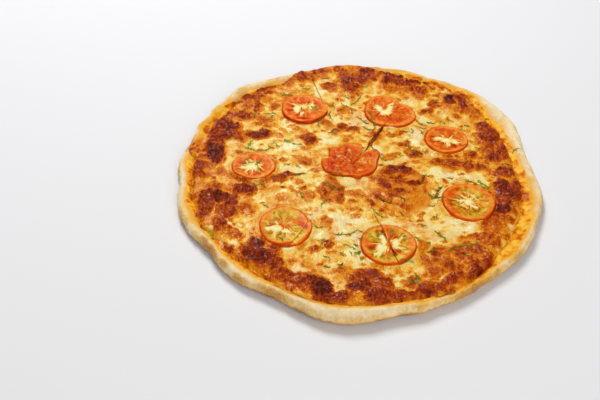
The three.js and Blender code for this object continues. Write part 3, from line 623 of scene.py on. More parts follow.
# %% How brown, milky and oily the cheese is
def looks(x, y):
    """How brown, milky and oily the cheese is at each point, and where it ran out into the sauce.
    Brown carries painted shade in the crease on the bubble, and milky carries painted glints.
    """
    distance, bearing = polar(x, y)
    share = distance / cheese_edge_at(bearing)
    near_rim = smoothstep(share, *BROWN_RING)
    sx, sy = stirred(x, y)
    foot_side = smoothstep(BLISTER["at"][1] - y, 2, 22)
    blister = 1 - smoothstep(blister_share(sx, sy) - 0.15 * foot_side, 0.85, 1.07)
    grain = 0.5 * noise(x, y, 9, 50) + 0.45 * noise(x, y, 5, 54) + 0.4 * noise(x, y, 2.8, 51)
    pale = pockets(sx, sy)

    # milky pools, and flecks of curd that melted last
    milky = ovals(sx, sy, MILKY, 0.1, 1.7) + 0.3 * noise(x, y, 15, 56) + 0.2 * noise(x, y, 6, 57)
    flecks = smoothstep(noise(sx, sy, 3.4, 66) + 0.6 * noise(x, y, 1.7, 65), 0.15, 0.95)
    milky = milky + 0.65 * flecks * (1 - 0.6 * smoothstep(share, 0.55, 0.75))
    milky = np.clip(milky * (1 - 0.85 * near_rim) * (1 - blister), 0, 1)
    milky = np.clip(milky + 0.45 * pale, 0, 1)

    # the open cheese, a little browned all over, with small spots
    toast = 0.19 + 0.29 * near_rim * (1 - pale) + (0.29 + 0.12 * near_rim) * grain - 0.26 * milky
    spots = np.maximum(small_spots(sx, sy, 0.7), small_spots(sx + 140, sy - 60, 0.5))
    toast = np.maximum(toast, spots * (1 - 0.4 * milky) + 0.1 * grain)

    # the bubble: a skin of sauce and oil with streaks and painted glints, pale highlights, all drawn out
    # along one direction
    right, foot = smoothstep(x, 32, 44), smoothstep(-y, 38, 47)
    along_streaks, across_streaks = 0.906 * x - 0.423 * y, 2.6 * (0.423 * x + 0.906 * y)
    streaks = smoothstep(noise(along_streaks, across_streaks, 7, 60), -0.1, 0.6) * (1 - right)
    painted_glints = smoothstep(noise(along_streaks, across_streaks, 5.5, 61), 0.4, 0.8)
    painted_glints = painted_glints * (1 - 0.7 * right) * blister
    skin = 0.47 - 0.06 * right - 0.06 * foot + (0.32 - 0.14 * right) * grain
    toast = lerp(toast, skin + 0.24 * streaks - 0.26 * painted_glints, blister)

    # the browned patches, each with a softer halo
    halo = smoothstep(ovals(sx, sy, BROWNED, 0.8, 1.95), 0.2, 0.7) * (1 - 0.8 * pale)
    core = ovals(sx, sy, BROWNED, 0.8 - 0.1 * (1 - near_rim), 1.6)
    brown = lerp(toast, 0.58 + 0.06 * near_rim + 0.24 * grain, halo)
    brown = lerp(brown, 0.92 * core + 0.18 * grain, smoothstep(core, 0.3, 0.7))

    # the arch, the painted shade in the crease and the pale ridge on the bubble
    near_x, near_y = x + 1.4 * noise(x, y, 4, 62), y + 1.4 * noise(x, y, 4, 63)
    arch, darkest, ridge = bubble_marks(near_x, near_y)
    brown = lerp(brown, 0.74 + 0.36 * darkest + 0.26 * grain, 0.9 * arch)
    behind, along = crease(near_x, near_y)
    # painted shade: the crease under the fold is darkened in colour
    brown = np.maximum(brown, 0.86 * along * np.exp(-((behind - 0.6) / 2.4) ** 2))
    # painted highlights: the glints make the cheese paler through the milky number
    brown, milky = brown * (1 - 0.5 * ridge), np.maximum(milky, np.maximum(0.4 * ridge, 0.6 * painted_glints))

    # the cheese darker along both sides of one cut, and the outer edge of the cheese
    from_cut = (distance * np.sin(np.radians(bearing - DARK_EDGED_CUT)) + 1.2 * noise(x, y, 4, 64)) / 2.6
    dark_beside_cut = np.exp(-from_cut ** 2) * in_band(distance, *DARK_EDGES) * (np.abs(bearing - DARK_EDGED_CUT) < 60)
    brown = np.maximum(brown, dark_beside_cut * (0.72 + 0.3 * grain))
    edge_at, end = cheese_edge_at(bearing), cheese_end_at(bearing)
    at_edge = smoothstep(distance, edge_at - 1.5, edge_at + 1.5)
    brown = np.maximum(brown, at_edge * (0.6 + 0.26 * grain - 0.4 * pale))

    # crisp skin has crinkles, wrinkles and speckles, the last two along a direction that wanders
    crisp = smoothstep(brown, 0.4, 0.75)
    wrinkles = (1 - np.abs(noise(sx, sy, 6, 48))) ** 7
    turn = 1.3 * noise(x, y, 26, 68)
    with_it, over = sx * np.cos(turn) + sy * np.sin(turn), sy * np.cos(turn) - sx * np.sin(turn)
    speckle = 0.35 * noise(x, y, 1.5, 52) + 0.8 * noise(0.4 * with_it, over, 1.7, 53)
    speckle = speckle * (0.05 + 0.21 * crisp * (1 - 0.5 * blister))
    brown = brown + crisp * (0.12 * crinkles(x, y) - 0.16 * wrinkles) + speckle

    # the curd, the thin edge and the oil
    curd = 1 - smoothstep(curd_share(x, y), 0.86, 1.06)
    brown, milky = lerp(brown, 0.1, curd), lerp(milky, 0.35, curd)
    outer = smoothstep(distance, end - 2.4 + 1.2 * noise(sx, sy, 5, 55), end - 0.4)
    run_out = outer * (1 - smoothstep(brown, 0.5, 0.72))
    oily = np.clip(0.5 * noise(x, y, 12, 58) + 0.25 * noise(x, y, 4, 59), 0, 1) * (1 - curd)
    oily = np.maximum(oily, blister * (0.5 + 0.35 * right + 0.3 * noise(x, y, 7, 60)))
    return np.clip(brown, 0, 1.3), milky, np.clip(oily, 0, 1), run_out


# %% [markdown]
# ## Heights
#
# The dough is flat under the topping, blows up in one bubble and climbs to the rim. Sauce and cheese
# follow it. On top of the form of the solid model, the cheese gets what its triangles leave out:
# knobs and pits where it has browned, threads where it was pulled, and soft swells elsewhere.

# %% Heights of dough and sauce
def blister_height(x, y):
    share = np.clip(blister_share(x, y), 0, 1)
    return BLISTER["height"] * (1 - share ** 2) ** 1.5


def equator_height(bearing):
    """Height at which the rim is widest."""
    return EQUATOR * edge(4, bearing)


def dough_flat(x, y):
    return BASE + 0.3 * noise(x, y, 30, 3) + blister_height(x, y)


def crust_top(x, y):
    """Top of the dough, inside and outside the crown of the rim."""
    distance, bearing = polar(x, y)
    inset = np.maximum(rim_at(bearing) - distance, 0)
    crown, height, equator = edge(2, bearing) / 2, edge(4, bearing), equator_height(bearing)
    outside = equator + (height - equator) * np.sqrt(np.clip(1 - (1 - inset / crown) ** 2, 0, 1))
    slope = np.clip((inset - crown) / (1.5 * crown + RISE), 0, 1)
    inside = lerp(dough_flat(x, y), height, 0.5 + 0.5 * np.cos(np.pi * slope))
    return np.where(inset < crown, outside, inside)


def bed(x, y):
    """Top of what the cheese lies on: sauce, and beyond its edge the bare dough."""
    distance, bearing = polar(x, y)
    return crust_top(x, y) + (SAUCE + GAP) * (1 - smoothstep(distance - sauce_edge_at(bearing), -3, 0))


def cheese_bottom(x, y):
    return bed(x, y) + GAP


# %% [markdown]
# Cheese lies level under a slice of tomato, stands up in a lip round it, and thins out towards its
# own edge. Where it has browned it has shrunk into knobs and ridges.

# %% Heights of the cheese
THINNING = 3.2                       # over this width the cheese thins out towards its edge
THIN_SIDE = 332                      # round this bearing it thins out over twice that width
THIN_TURN = (14, 32)                 # up to so many degrees from it fully, and from so many not at all
LIP_AT, LIP_WIDTH = 1.06, 0.08       # the lip of cheese round a slice, as shares of the slice's reach


def open_cheese(x, y):
    """Top of the cheese before anything is laid on it."""
    relief = 0.45 * noise(x, y, 17, 1) + 0.25 * noise(x, y, 9, 2)
    for at_x, at_y, half_a, half_b, turn, height in CRAGS:
        share = oval_share(x, y, (at_x, at_y), half_a, half_b, turn)
        relief = relief + height * (1 - smoothstep(share, 0.4, 1.3)) * (0.8 + 0.6 * noise(x, y, 13, 5))
    dy = y - BLISTER["at"][1]
    crest = (np.hypot(x - BLISTER["at"][0], dy) - 0.72 * BLISTER["reach"]) / 5
    relief = relief + BLISTER["fold"] * np.clip(dy / BLISTER["reach"], 0, 1) * np.exp(-crest * crest)
    arch, darkest, ridge = bubble_marks(x, y)
    behind, along = crease(x, y)
    relief = relief + 0.9 * arch + darkest + 0.9 * ridge + along * 1.1 * np.exp(-((behind - 4.5) / 3) ** 2)
    relief = relief - 2 * along * np.exp(-(behind / 2) ** 2)
    return cheese_bottom(x, y) + CHEESE + relief


def seat_height(tomato):
    """Height of the level bed under a slice of tomato."""
    return float(cheese_bottom(*np.array(tomato["at"], float))) + CHEESE - TOMATO_SINK


def pieces_of(tomato):
    """The slice as it lies on each wedge: wedge number, middle, half widths, extra thickness."""
    return [(number, piece.get("at", tomato["at"]), piece.get("half", tomato["half"]), piece.get("rise", 0))
            for number, piece in tomato["on"].items()]


def torn_share(x, y):
    distance, bearing = polar(x, y)
    return distance / read_round(TORN, bearing)


def slice_share(place, x, y, at, half):
    """Distance from the middle of a slice as a share of its reach: 1 on its outline."""
    if place == MASHED:
        return torn_share(x, y)
    return oval_share(x, y, at, half[0], half[1], TOMATOES[place]["turn"])


def fine_relief(x, y, brown):
    """What steam and the oven's heat have done to the skin of the cheese."""
    crisp = smoothstep(brown, 0.35, 0.95)
    threads = (1 - np.abs(noise(x + 3 * noise(x, y, 9, 74), y, 4.2, 73))) ** 5
    soft = 0.2 * noise(x, y, 5, 75) + 0.12 * noise(x, y, 2.4, 76) + 0.4 * threads - 0.05
    return lerp(soft, 0.7 + 2.6 * crinkles(x, y) + 0.6 * noise(x, y, 1.9, 77), crisp)


def cheese_top(x, y, brown):
    """Top of the cheese with level beds under the tomato, a lip round them, and a melted edge."""
    top = open_cheese(x, y) + fine_relief(x, y, brown)
    for place, tomato in enumerate(TOMATOES):
        for _, at, half, _ in pieces_of(tomato):
            share = slice_share(place, x, y, at, half)
            near = np.minimum(top, seat_height(tomato) + TOMATO_SINK + 0.6 + 0.4 * noise(x, y, 5, 78))
            top = lerp(near, top, smoothstep(share, 1.1, 1.5))
            lip = LIPS[place] * np.exp(-((share - LIP_AT) / LIP_WIDTH) ** 2)
            top = top + lip * (0.75 + 0.5 * noise(x, y, 6, 79))
            top = lerp(seat_height(tomato), top, smoothstep(share, 0.9, 1.02))
    clear = smoothstep(torn_share(x, y), 1.0, 1.08)
    top = top + CURD["height"] * clear * np.sqrt(np.clip(1 - curd_share(x, y) ** 2, 0, 1))
    distance, bearing = polar(x, y)
    thin_side = 1 - smoothstep(np.abs(turned_from(THIN_SIDE, bearing)), *THIN_TURN)
    inset = np.clip((cheese_end_at(bearing) - distance) / THINNING / (1 + 1.4 * thin_side), 0, 1)
    under = bed(x, y)
    body = lerp(1, 0.4, smoothstep(distance - sauce_edge_at(bearing), -5, 1))
    full = smoothstep(inset + 0.3 * smoothstep(brown, 0.5, 0.9) * (inset > 0.05), 0, 1)
    return under + (top - under) * body * full


# %% [markdown]
# ## Finishes
#
# Each finish starts from what the real thing is. Melted mozzarella is a wet, slightly see-through
# skin that goes from cream over gold to red brown as it bakes, baked dough is matt and floury, a
# slice of tomato is wet flesh under a thin glossy skin. The numbers worked out above travel to the
# materials as attributes of the mesh, and a fine pattern in the material breaks up what is smaller
# than the mesh can carry. Its grains have their real width in millimetres.

# %% What a finish reads
def read_surface(tree, names, grains):
    """Numbers of the mesh by name, and noise with grains of each width in millimetres and detail."""
    place = add_node(tree, "ShaderNodeTexCoord", out="Object")
    numbers = [add_node(tree, "ShaderNodeAttribute", {"attribute_name": name}, out="Fac") for name in names]
    return numbers + [
        add_node(tree, "ShaderNodeTexNoise",
                 inputs={"Vector": place, "Scale": 1 / (width * MM), "Detail": detail})
        for width, detail in grains]


RGBA = {"data_type": "RGBA"}         # a Mix node mixes numbers unless it is told to mix colours


def under_skin(weight, far, depth):
    """Light that scatters in food: how much, how far red, green and blue go, and their depth in mm."""
    return {"Subsurface Weight": weight, "Subsurface Radius": far, "Subsurface Scale": depth * MM}


# %% [markdown]
# Cheese browns through a fixed row of colours, so one ramp carries it, and the same ramp shows the
# shade painted dark into the crease on the bubble. Milky pools turn it paler and hot oil turns it
# orange, both only where it has not browned; the painted glints on the bubble turn pale the same way
# as the milky pools. Browned skin is rougher than the rest, and a film of fat on it catches the light.

# %% Melted and browned mozzarella
BROWNING = [
    (0.0, "#FFE898"), (0.1, "#FFD66A"), (0.21, "#FABE42"), (0.33, "#EE9A18"), (0.46, "#D87004"),
    (0.58, "#BE4C02"), (0.71, "#9E3002"), (0.83, "#7A1E04"), (1.0, "#4A1608"),
]
RAMP_END = 1.2                       # the browning that the last colour stands for

mozzarella, tree, shader = new_paint("baked_mozzarella")
browned, milky, oily, run_out, fine, blots, pores = read_surface(
    tree, ["browned", "milky", "oily", "run_out"], [(1.1, 3), (3.0, 3), (1.0, 3)])
fine = add_node(tree, "ShaderNodeMapRange", inputs=[fine, 0.3, 0.7, -0.17, 0.17])
browned = add_node(tree, "ShaderNodeMath", {"operation": "ADD"}, [browned, fine])
share = add_node(tree, "ShaderNodeMath", {"operation": "DIVIDE"}, [browned, RAMP_END])
colour = add_node(tree, "ShaderNodeValToRGB", inputs=[share], stops=BROWNING)
unbrowned = add_node(tree, "ShaderNodeMapRange", inputs=[browned, 0.05, 0.4, 1, 0])
milky = add_node(tree, "ShaderNodeMath", {"operation": "MULTIPLY"}, [milky, unbrowned])
colour = add_node(tree, "ShaderNodeMix", RGBA, {0: milky, 6: colour, 7: "#FFF3B8"}, out=2)
unbrowned = add_node(tree, "ShaderNodeMapRange", inputs=[browned, 0.2, 0.66, 0.75, 0])
oily = add_node(tree, "ShaderNodeMath", {"operation": "MULTIPLY"}, [oily, unbrowned])
colour = add_node(tree, "ShaderNodeMix", RGBA, {0: oily, 6: colour, 7: "#E67A1A"}, out=2)
blots = add_node(tree, "ShaderNodeMapRange", inputs=[blots, 0.35, 0.65, 0, 1])
thin = add_node(tree, "ShaderNodeValToRGB", inputs=[blots],
                stops=[(0.0, "#F2B434"), (0.5, "#EC9E1C"), (1.0, "#D47808")])
fill_sockets(tree, shader, {
    "Base Color": add_node(tree, "ShaderNodeMix", RGBA, {0: run_out, 6: colour, 7: thin}, out=2),
    "Roughness": add_node(tree, "ShaderNodeMapRange", inputs=[browned, 0.2, 0.9, 0.32, 0.5]),
    "Normal": add_node(tree, "ShaderNodeBump", inputs={"Height": pores, "Distance": 0.85 * MM}),
    "Coat Weight": add_node(tree, "ShaderNodeMapRange", inputs=[browned, 0.45, 0.9, 0.12, 0.24]),
    "Coat Roughness": 0.06, "IOR": 1.45, "Specular Tint": "#FFD8A8", "Specular IOR Level": 0.12,
    **under_skin(0.06, (1.0, 0.5, 0.25), 1.2),
})
print("material:", mozzarella.name)

# %% [markdown]
# The dough is pale and dusted with flour, brown where it stood nearest the fire, and stained orange
# where the sauce ran onto it. Its underside took the heat of the stone: gold, with dark freckles. Its
# lower wall is darker, partly browned and partly painted shade under the bulge of the rim.

# %% Baked dough
dough, tree, shader = new_paint("floury_baked_dough")
toasted, stained, floury, underside, fine, freckles, flour, crumb = read_surface(
    tree, ["toasted", "stained", "floury", "underside"], [(2.2, 5), (11, 3), (0.7, 2), (1.4, 4)])
fine = add_node(tree, "ShaderNodeMapRange", inputs=[fine, 0.3, 0.7, -0.1, 0.12])
toasted = add_node(tree, "ShaderNodeMath", {"operation": "ADD"}, [toasted, fine])
freckles = add_node(tree, "ShaderNodeMapRange", inputs=[freckles, 0.54, 0.66, 0, 0.5])
freckles = add_node(tree, "ShaderNodeMath", {"operation": "MULTIPLY"}, [freckles, underside])
toasted = add_node(tree, "ShaderNodeMath", {"operation": "ADD"}, [toasted, freckles])
colour = add_node(tree, "ShaderNodeValToRGB", inputs=[toasted], stops=[
    (0.0, "#F8E3B6"), (0.25, "#EBC274"), (0.5, "#D0963E"), (0.75, "#A4621C"), (1.0, "#6A340A")])
colour = add_node(tree, "ShaderNodeMix", RGBA, {0: stained, 6: colour, 7: "#F6B432"}, out=2)
flour = add_node(tree, "ShaderNodeMapRange", inputs=[flour, 0.52, 0.66, 0, 0.45])
flour = add_node(tree, "ShaderNodeMath", {"operation": "MULTIPLY"}, [flour, floury])
fill_sockets(tree, shader, {
    "Base Color": add_node(tree, "ShaderNodeMix", RGBA, {0: flour, 6: colour, 7: "#EBDFC6"}, out=2),
    "Normal": add_node(tree, "ShaderNodeBump", inputs={"Height": crumb, "Distance": 0.3 * MM}),
    "Roughness": 0.8, "Specular IOR Level": 0.3, **under_skin(0.1, (1.0, 0.6, 0.35), 1.5),
})
print("material:", dough.name)

# %% [markdown]
# Round the cheese the sauce is a thin film of tomato and hot fat: orange, shiny, darker where it has
# caught, and thinning out into the dough.

# %% Tomato sauce and oil
sauce_film, tree, shader = new_paint("oily_tomato_sauce")
caught, thin, fine, lumps = read_surface(tree, ["caught", "thin"], [(1.3, 3), (1.2, 3)])
fine = add_node(tree, "ShaderNodeMapRange", inputs=[fine, 0.3, 0.7, -0.1, 0.1])
caught = add_node(tree, "ShaderNodeMath", {"operation": "ADD"}, [caught, fine])
colour = add_node(tree, "ShaderNodeValToRGB", inputs=[caught], stops=[
    (0.0, "#FFCA46"), (0.25, "#F8AA1C"), (0.5, "#E27A04"), (0.75, "#B24A02"), (1.0, "#7C2204")])
fill_sockets(tree, shader, {
    "Base Color": add_node(tree, "ShaderNodeMix", RGBA, {0: thin, 6: colour, 7: "#F8BE3C"}, out=2),
    "Normal": add_node(tree, "ShaderNodeBump", inputs={"Height": lumps, "Distance": 0.3 * MM}),
    "Roughness": 0.5, "Specular IOR Level": 0.06, "Coat Weight": 0.06, "Coat Roughness": 0.06,
    **under_skin(0.1, (1.0, 0.4, 0.15), 1.0),
})
print("material:", sauce_film.name)

# %% [markdown]
# A baked slice of tomato is orange red and wet, with a cream core, olive gel in its chambers and a
# skin that shines a little more than the flesh.

# %% Baked tomato
tomato_flesh, tree, shader = new_paint("baked_tomato")
deep, gel, heart, fine, fibres = read_surface(tree, ["deep", "gel", "core"], [(0.8, 3), (0.7, 3)])
fine = add_node(tree, "ShaderNodeMapRange", inputs=[fine, 0.3, 0.7, -0.12, 0.12])
deep = add_node(tree, "ShaderNodeMath", {"operation": "ADD"}, [deep, fine])
colour = add_node(tree, "ShaderNodeValToRGB", inputs=[deep], stops=[
    (0.0, "#F4A040"), (0.25, "#EE7E18"), (0.5, "#E05606"), (0.75, "#C62E00"), (1.0, "#8E1400")])
gel = add_node(tree, "ShaderNodeMath", {"operation": "ADD"}, [gel, fine])
olive = add_node(tree, "ShaderNodeMapRange", inputs=[deep, 0.25, 0.75, 0, 1])
olive = add_node(tree, "ShaderNodeValToRGB", inputs=[olive],
                 stops=[(0.0, "#ECC844"), (0.5, "#C29810"), (1.0, "#7E5800")])
colour = add_node(tree, "ShaderNodeMix", RGBA, {0: gel, 6: colour, 7: olive}, out=2)
pith = add_node(tree, "ShaderNodeMath", {"operation": "ADD"}, [heart, fine])
pith = add_node(tree, "ShaderNodeValToRGB", inputs=[pith],
                stops=[(0.3, "#EEB838"), (0.6, "#F6D66C"), (1.0, "#FDEFAE")])
heart = add_node(tree, "ShaderNodeMapRange", inputs=[heart, 0.1, 0.76, 0, 1])
fill_sockets(tree, shader, {
    "Base Color": add_node(tree, "ShaderNodeMix", RGBA, {0: heart, 6: colour, 7: pith}, out=2),
    "Normal": add_node(tree, "ShaderNodeBump", inputs={"Height": fibres, "Distance": 0.2 * MM}),
    "Roughness": 0.38, "IOR": 1.35, "Specular IOR Level": 0.07, "Coat Weight": 0.09, "Coat Roughness": 0.06,
    **under_skin(0.15, (1.0, 0.3, 0.12), 1.5),
})
print("material:", tomato_flesh.name)

# %% [markdown]
# The herbs were chopped and baked, so some shreds are still green and others have dried to olive.

# %% Chopped green herb
green_herb, tree, shader = new_paint("chopped_green_herb")
dried, fine = read_surface(tree, ["dried"], [(1.5, 3)])
fine = add_node(tree, "ShaderNodeMapRange", inputs=[fine, 0.3, 0.7, -0.15, 0.15])
dried = add_node(tree, "ShaderNodeMath", {"operation": "ADD"}, [dried, fine])
fill_sockets(tree, shader, {
    "Base Color": add_node(tree, "ShaderNodeValToRGB", inputs=[dried], stops=[
        (0.0, "#9AB02A"), (0.35, "#748622"), (0.7, "#56581A"), (1.0, "#4A3210")]),
    "Roughness": 0.5, "Specular IOR Level": 0.15,
})
print("material:", green_herb.name)

# %% [markdown]
# ## A wedge of anything
#
# Dough, sauce and cheese are all slabs with the outline of a wedge. Each starts as a flat grid, one
# unit wide and long, that is extruded up one unit and closed that way. Its upper face is then
# divided finer than the hidden one below. What is left is to bring every point of the unit slab to
# its place on the pizza: its first number goes round the wedge, its second from the tip to the
# edge, and its third is 0 under the slab and 1 on top.

# %% Cuts and places
def openings_at(bearing, distance):
    """The extra width at a distance, for each place where the cut at a bearing has opened."""
    for at, start, end, extra in OPENINGS:
        if at == bearing % 360:
            share = np.clip((distance - start) / (end - start), 0, 1)
            yield extra * np.sin(np.pi * share) ** 2


def half_kerf(bearing, distance):
    """Half the width of a cut at a distance from where the cuts cross."""
    width = np.full(np.shape(distance), KERF)
    for extra in openings_at(bearing, distance):
        width = width + extra * (1 + 0.5 * noise(distance, bearing % 360, 3.5, 6))
    return width / 2


def sway(bearing, distance):
    """How far to its left a cut strays where it has opened, because the cheese tore there."""
    stray, at = np.zeros(np.shape(distance)), bearing % 360
    for extra in openings_at(bearing, distance):
        stray = stray + extra * (0.3 * noise(distance, at, 6, 8) + 0.25 * noise(distance, at, 2.4, 9))
    return stray


def tip_of(cuts):
    """Distance from the crossing at which two cuts leave room for the tip of a wedge."""
    return KERF / 2 / math.sin(math.radians(cuts[1] - cuts[0]) / 2)


def place_in_wedge(cuts, around, distance):
    """Plan position at a share of the way round a wedge, clear of its two cuts."""
    right = half_kerf(cuts[0], distance) + sway(cuts[0], distance)
    left = half_kerf(cuts[1], distance) - sway(cuts[1], distance)
    first = cuts[0] + np.degrees(np.arcsin(np.clip(right / distance, -1, 1)))
    last = cuts[1] - np.degrees(np.arcsin(np.clip(left / distance, -1, 1)))
    return plan_point(distance, lerp(first, last, around))


# %% [markdown]
# Operators make a slab and close it. Its points are then read, worked out and moved all at once as
# arrays, because a wedge has thousands of them. A number for each point is kept in the mesh as an
# attribute, where the material finds it.

# %% Slabs, points and attributes
MEETS = 0.004                        # points closer than this are one point


def read_points(piece):
    numbers = np.empty(len(piece.data.vertices) * 3)
    piece.data.vertices.foreach_get("co", numbers)
    return numbers.reshape(-1, 3).T


def move_points(piece, x, y, z):
    """Every vertex to its place in millimetres."""
    piece.data.vertices.foreach_set("co", (np.stack([x, y, z], 1) * MM).ravel())
    piece.data.update()


def attach(piece, **values):
    """Numbers for every vertex, which the materials read by name."""
    for name, numbers in values.items():
        layer = piece.data.attributes.new(name, "FLOAT", "POINT")
        layer.data.foreach_set("value", np.asarray(numbers, dtype=np.float32))


def unit_slab(name, columns, rows, cuts_on_top=0):
    """A closed slab, one unit long, wide and high, with its top divided finer than its bottom."""
    deselect_all()
    bpy.ops.mesh.primitive_grid_add(
        x_subdivisions=columns, y_subdivisions=rows, size=1, location=(0.5, 0.5, 0))
    piece = bpy.context.object
    piece.name = name
    bpy.ops.object.transform_apply(location=True)
    bpy.ops.object.mode_set(mode="EDIT")
    bpy.ops.mesh.select_all(action="SELECT")
    bpy.ops.mesh.extrude_region_move(TRANSFORM_OT_translate={"value": (0, 0, 1)})
    if cuts_on_top:
        bpy.ops.mesh.subdivide(number_cuts=cuts_on_top, ngon=False)
    bpy.ops.object.mode_set(mode="OBJECT")
    return piece


def close_up(piece, paint, sharp=60):
    """Merges what meets, points the faces outwards and smooths all but the sharp edges."""
    bpy.ops.object.mode_set(mode="EDIT")
    bpy.ops.mesh.select_all(action="SELECT")
    bpy.ops.mesh.remove_doubles(threshold=MEETS * MM)
    bpy.ops.mesh.normals_make_consistent(inside=False)
    bpy.ops.mesh.select_all(action="DESELECT")
    bpy.ops.object.mode_set(mode="OBJECT")
    bpy.ops.object.shade_smooth_by_angle(angle=math.radians(sharp))
    piece.data.materials.clear()
    piece.data.materials.append(paint)


def copy_of(piece):
    """A copy with a mesh of its own."""
    copy = piece.copy()
    copy.data = piece.data.copy()
    bpy.context.scene.collection.objects.link(copy)
    return copy


def join(pieces, name):
    """One piece made of many."""
    deselect_all()
    for piece in pieces:
        piece.select_set(True)
    bpy.context.view_layer.objects.active = pieces[0]
    bpy.ops.object.join()
    whole = bpy.context.object
    whole.name = name
    return whole


def triangles(piece):
    return sum(len(face.vertices) - 2 for face in piece.data.polygons)


# %% [markdown]
# ## Dough
#
# A wedge of dough has the same points above and below, so that they meet where the rim is widest.
# The rows lie close together over the round of the rim, where it shows. Hand-shaped dough is
# uneven: its edge wanders and its top has low lumps.

# %% Wedges of dough
CRUST_COLUMNS, INNER_ROWS, SLOPE_ROWS, ROUND_ROWS = 140, 14, 30, 20
FINER_FROM = 8                       # the close rows start this far inside the cheese's edge
LUMPS_FROM, LUMPS_FULL = 14, 5       # the low lumps fade in between these distances from the rim
UNDERSIDE = 0.32                     # how toasted the underside is
# where the dough has browned: bearing, half width in degrees, inset, half depth, strength
TOASTED = [
    (221, 8, 1, 5, 0.58), (229, 3, 2, 3, 0.5), (205, 4, 0, 3, 0.4), (236, 4, 0, 3, 0.45),
    (247, 8, 1, 4, 0.5), (304, 14, 0, 4, 0.62), (322, 4, 2, 4, 0.42), (287, 3, 2, 3, 0.4),
    (171, 5, 2, 3, 0.6), (160, 4, 2, 3, 0.35), (184, 4, 1, 2, 0.35), (100, 6, 2, 2, 0.5),
    (82, 8, 2, 2, 0.45), (70, 4, 2, 2, 0.35), (53, 4, 2, 3, 0.3), (20, 5, 1, 2, 0.2),
    (350, 5, 0, 2, 0.25), (337, 3, 1, 2, 0.3), (270, 10, 0, 2, 0.25), (128, 4, 1, 2, 0.15),
]


def row_share(v, low, high):
    """How far row number `v` is between two rows, held between 0 and 1."""
    return np.clip((v - low) / (high - low), 0, 1)


def unrolled(x, y, z):
    """Plan points with the wall of the rim folded out flat, so that patterns run down it unstretched."""
    _, bearing = polar(x, y)
    return x - z * np.cos(np.radians(bearing)), y - z * np.sin(np.radians(bearing))


def dough_points(cuts, u, v, w):
    """Plan, height, inset from the rim and bearing of points of a dough wedge."""
    row = v * (INNER_ROWS + SLOPE_ROWS + ROUND_ROWS)
    bearing = np.mod(lerp(cuts[0], cuts[1], u), 360)
    rim, crown, tip = rim_at(bearing), edge(2, bearing) / 2, tip_of(cuts)
    turn = 0.5 * np.pi * row_share(row, INNER_ROWS + SLOPE_ROWS, INNER_ROWS + SLOPE_ROWS + ROUND_ROWS)
    foot = np.where(w > 0.5, crown, TUCK)
    first = lerp(tip, cheese_edge_at(bearing) - FINER_FROM, row_share(row, 0, INNER_ROWS))
    second = row_share(row, INNER_ROWS, INNER_ROWS + SLOPE_ROWS)
    above = lerp(first, rim - crown, second)
    inner = np.where(w > 0.5, above, tip + (above - tip) * (rim - TUCK - tip) / (rim - crown - tip))
    distance = np.where(turn > 0, rim - foot * (1 - np.sin(turn)), inner)
    x, y = place_in_wedge(cuts, u, distance)
    lumps = 0.6 * noise(x, y, 12, 81) + 0.4 * noise(x, y, 5.5, 82) + 0.16 * noise(x, y, 2.2, 83)
    near = smoothstep(distance, rim - LUMPS_FROM, rim - LUMPS_FULL)
    top = crust_top(x, y) + lumps * np.cos(turn) * near
    bottom = equator_height(bearing) * (1 - np.cos(turn))
    z = np.where(w > 0.5, top, bottom)
    wander = (0.6 * noise(*unrolled(x, y, z), 9, 84) + 0.5 * noise(*unrolled(x, y, z), 4, 85)) * np.sin(turn)
    x, y = carried_out(x, y, 1 + wander / distance)
    return x, y, z, rim - distance, bearing


def make_dough(number, cuts):
    piece = unit_slab(f"crust_wedge_{number}", CRUST_COLUMNS, INNER_ROWS + SLOPE_ROWS + ROUND_ROWS)
    u, v, w = read_points(piece)
    x, y, z, inset, bearing = dough_points(cuts, u, v, w)
    move_points(piece, *hand_shaped(x, y), z)
    sx, sy = stirred(x, y)
    qx, qy = unrolled(x, y, z)
    # the lower wall is darker: partly browned where it met the stone, partly painted shade under the rim's
    # bulge
    low = smoothstep(-z / edge(4, bearing), -0.72, -0.06)
    toast = 0.06 + 0.2 * noise(qx, qy, 14, 86) + 0.13 * noise(qx, qy, 5, 87)
    toast = toast + 0.08 * noise(qx, qy, 2, 94) + 0.9 * low
    for at, spread, depth_at, depth, strength in TOASTED:
        away = np.abs(turned_from(at, bearing)) / spread + 0.25 * noise(sx, sy, 5, 88)
        share = np.hypot(away, (inset - depth_at) / depth + 0.3 * noise(sx, sy, 4, 89))
        toast = np.maximum(toast, strength * (1 - smoothstep(share, 0.2, 1.3)))
    under = smoothstep(-z, -1.2, -0.4)
    toast = lerp(toast, UNDERSIDE, under)
    band = rim_at(bearing) - sauce_end_at(bearing)
    stain = (1 - smoothstep(band - inset + 1.8 * noise(sx, sy, 7, 93), -1, 5.5)) * (1 - under)
    floury = (1 - stain) * np.where(under > 0.5, 0.7, 1)
    attach(piece, toasted=toast, stained=0.9 * stain, floury=floury, underside=under)
    close_up(piece, dough)
    return piece


crusts = [make_dough(k + 1, cuts) for k, cuts in enumerate(wedges)]
print(len(crusts), "wedges of dough,", [triangles(piece) for piece in crusts], "triangles")

# %% [markdown]
# ## Sauce
#
# The sauce is one millimetre thick and follows the dough. Only its outer band shows, beyond the
# cheese, so the rows crowd there. Its edge wanders and thins out.

# %% Wedges of sauce
SAUCE_COLUMNS, HIDDEN_ROWS, BAND_ROWS = 140, 6, 26
SAUCE_BITE = 0.2                     # how far the sauce has sunk into the dough
BAND_FROM = 5                        # its close rows start this far inside the cheese's edge


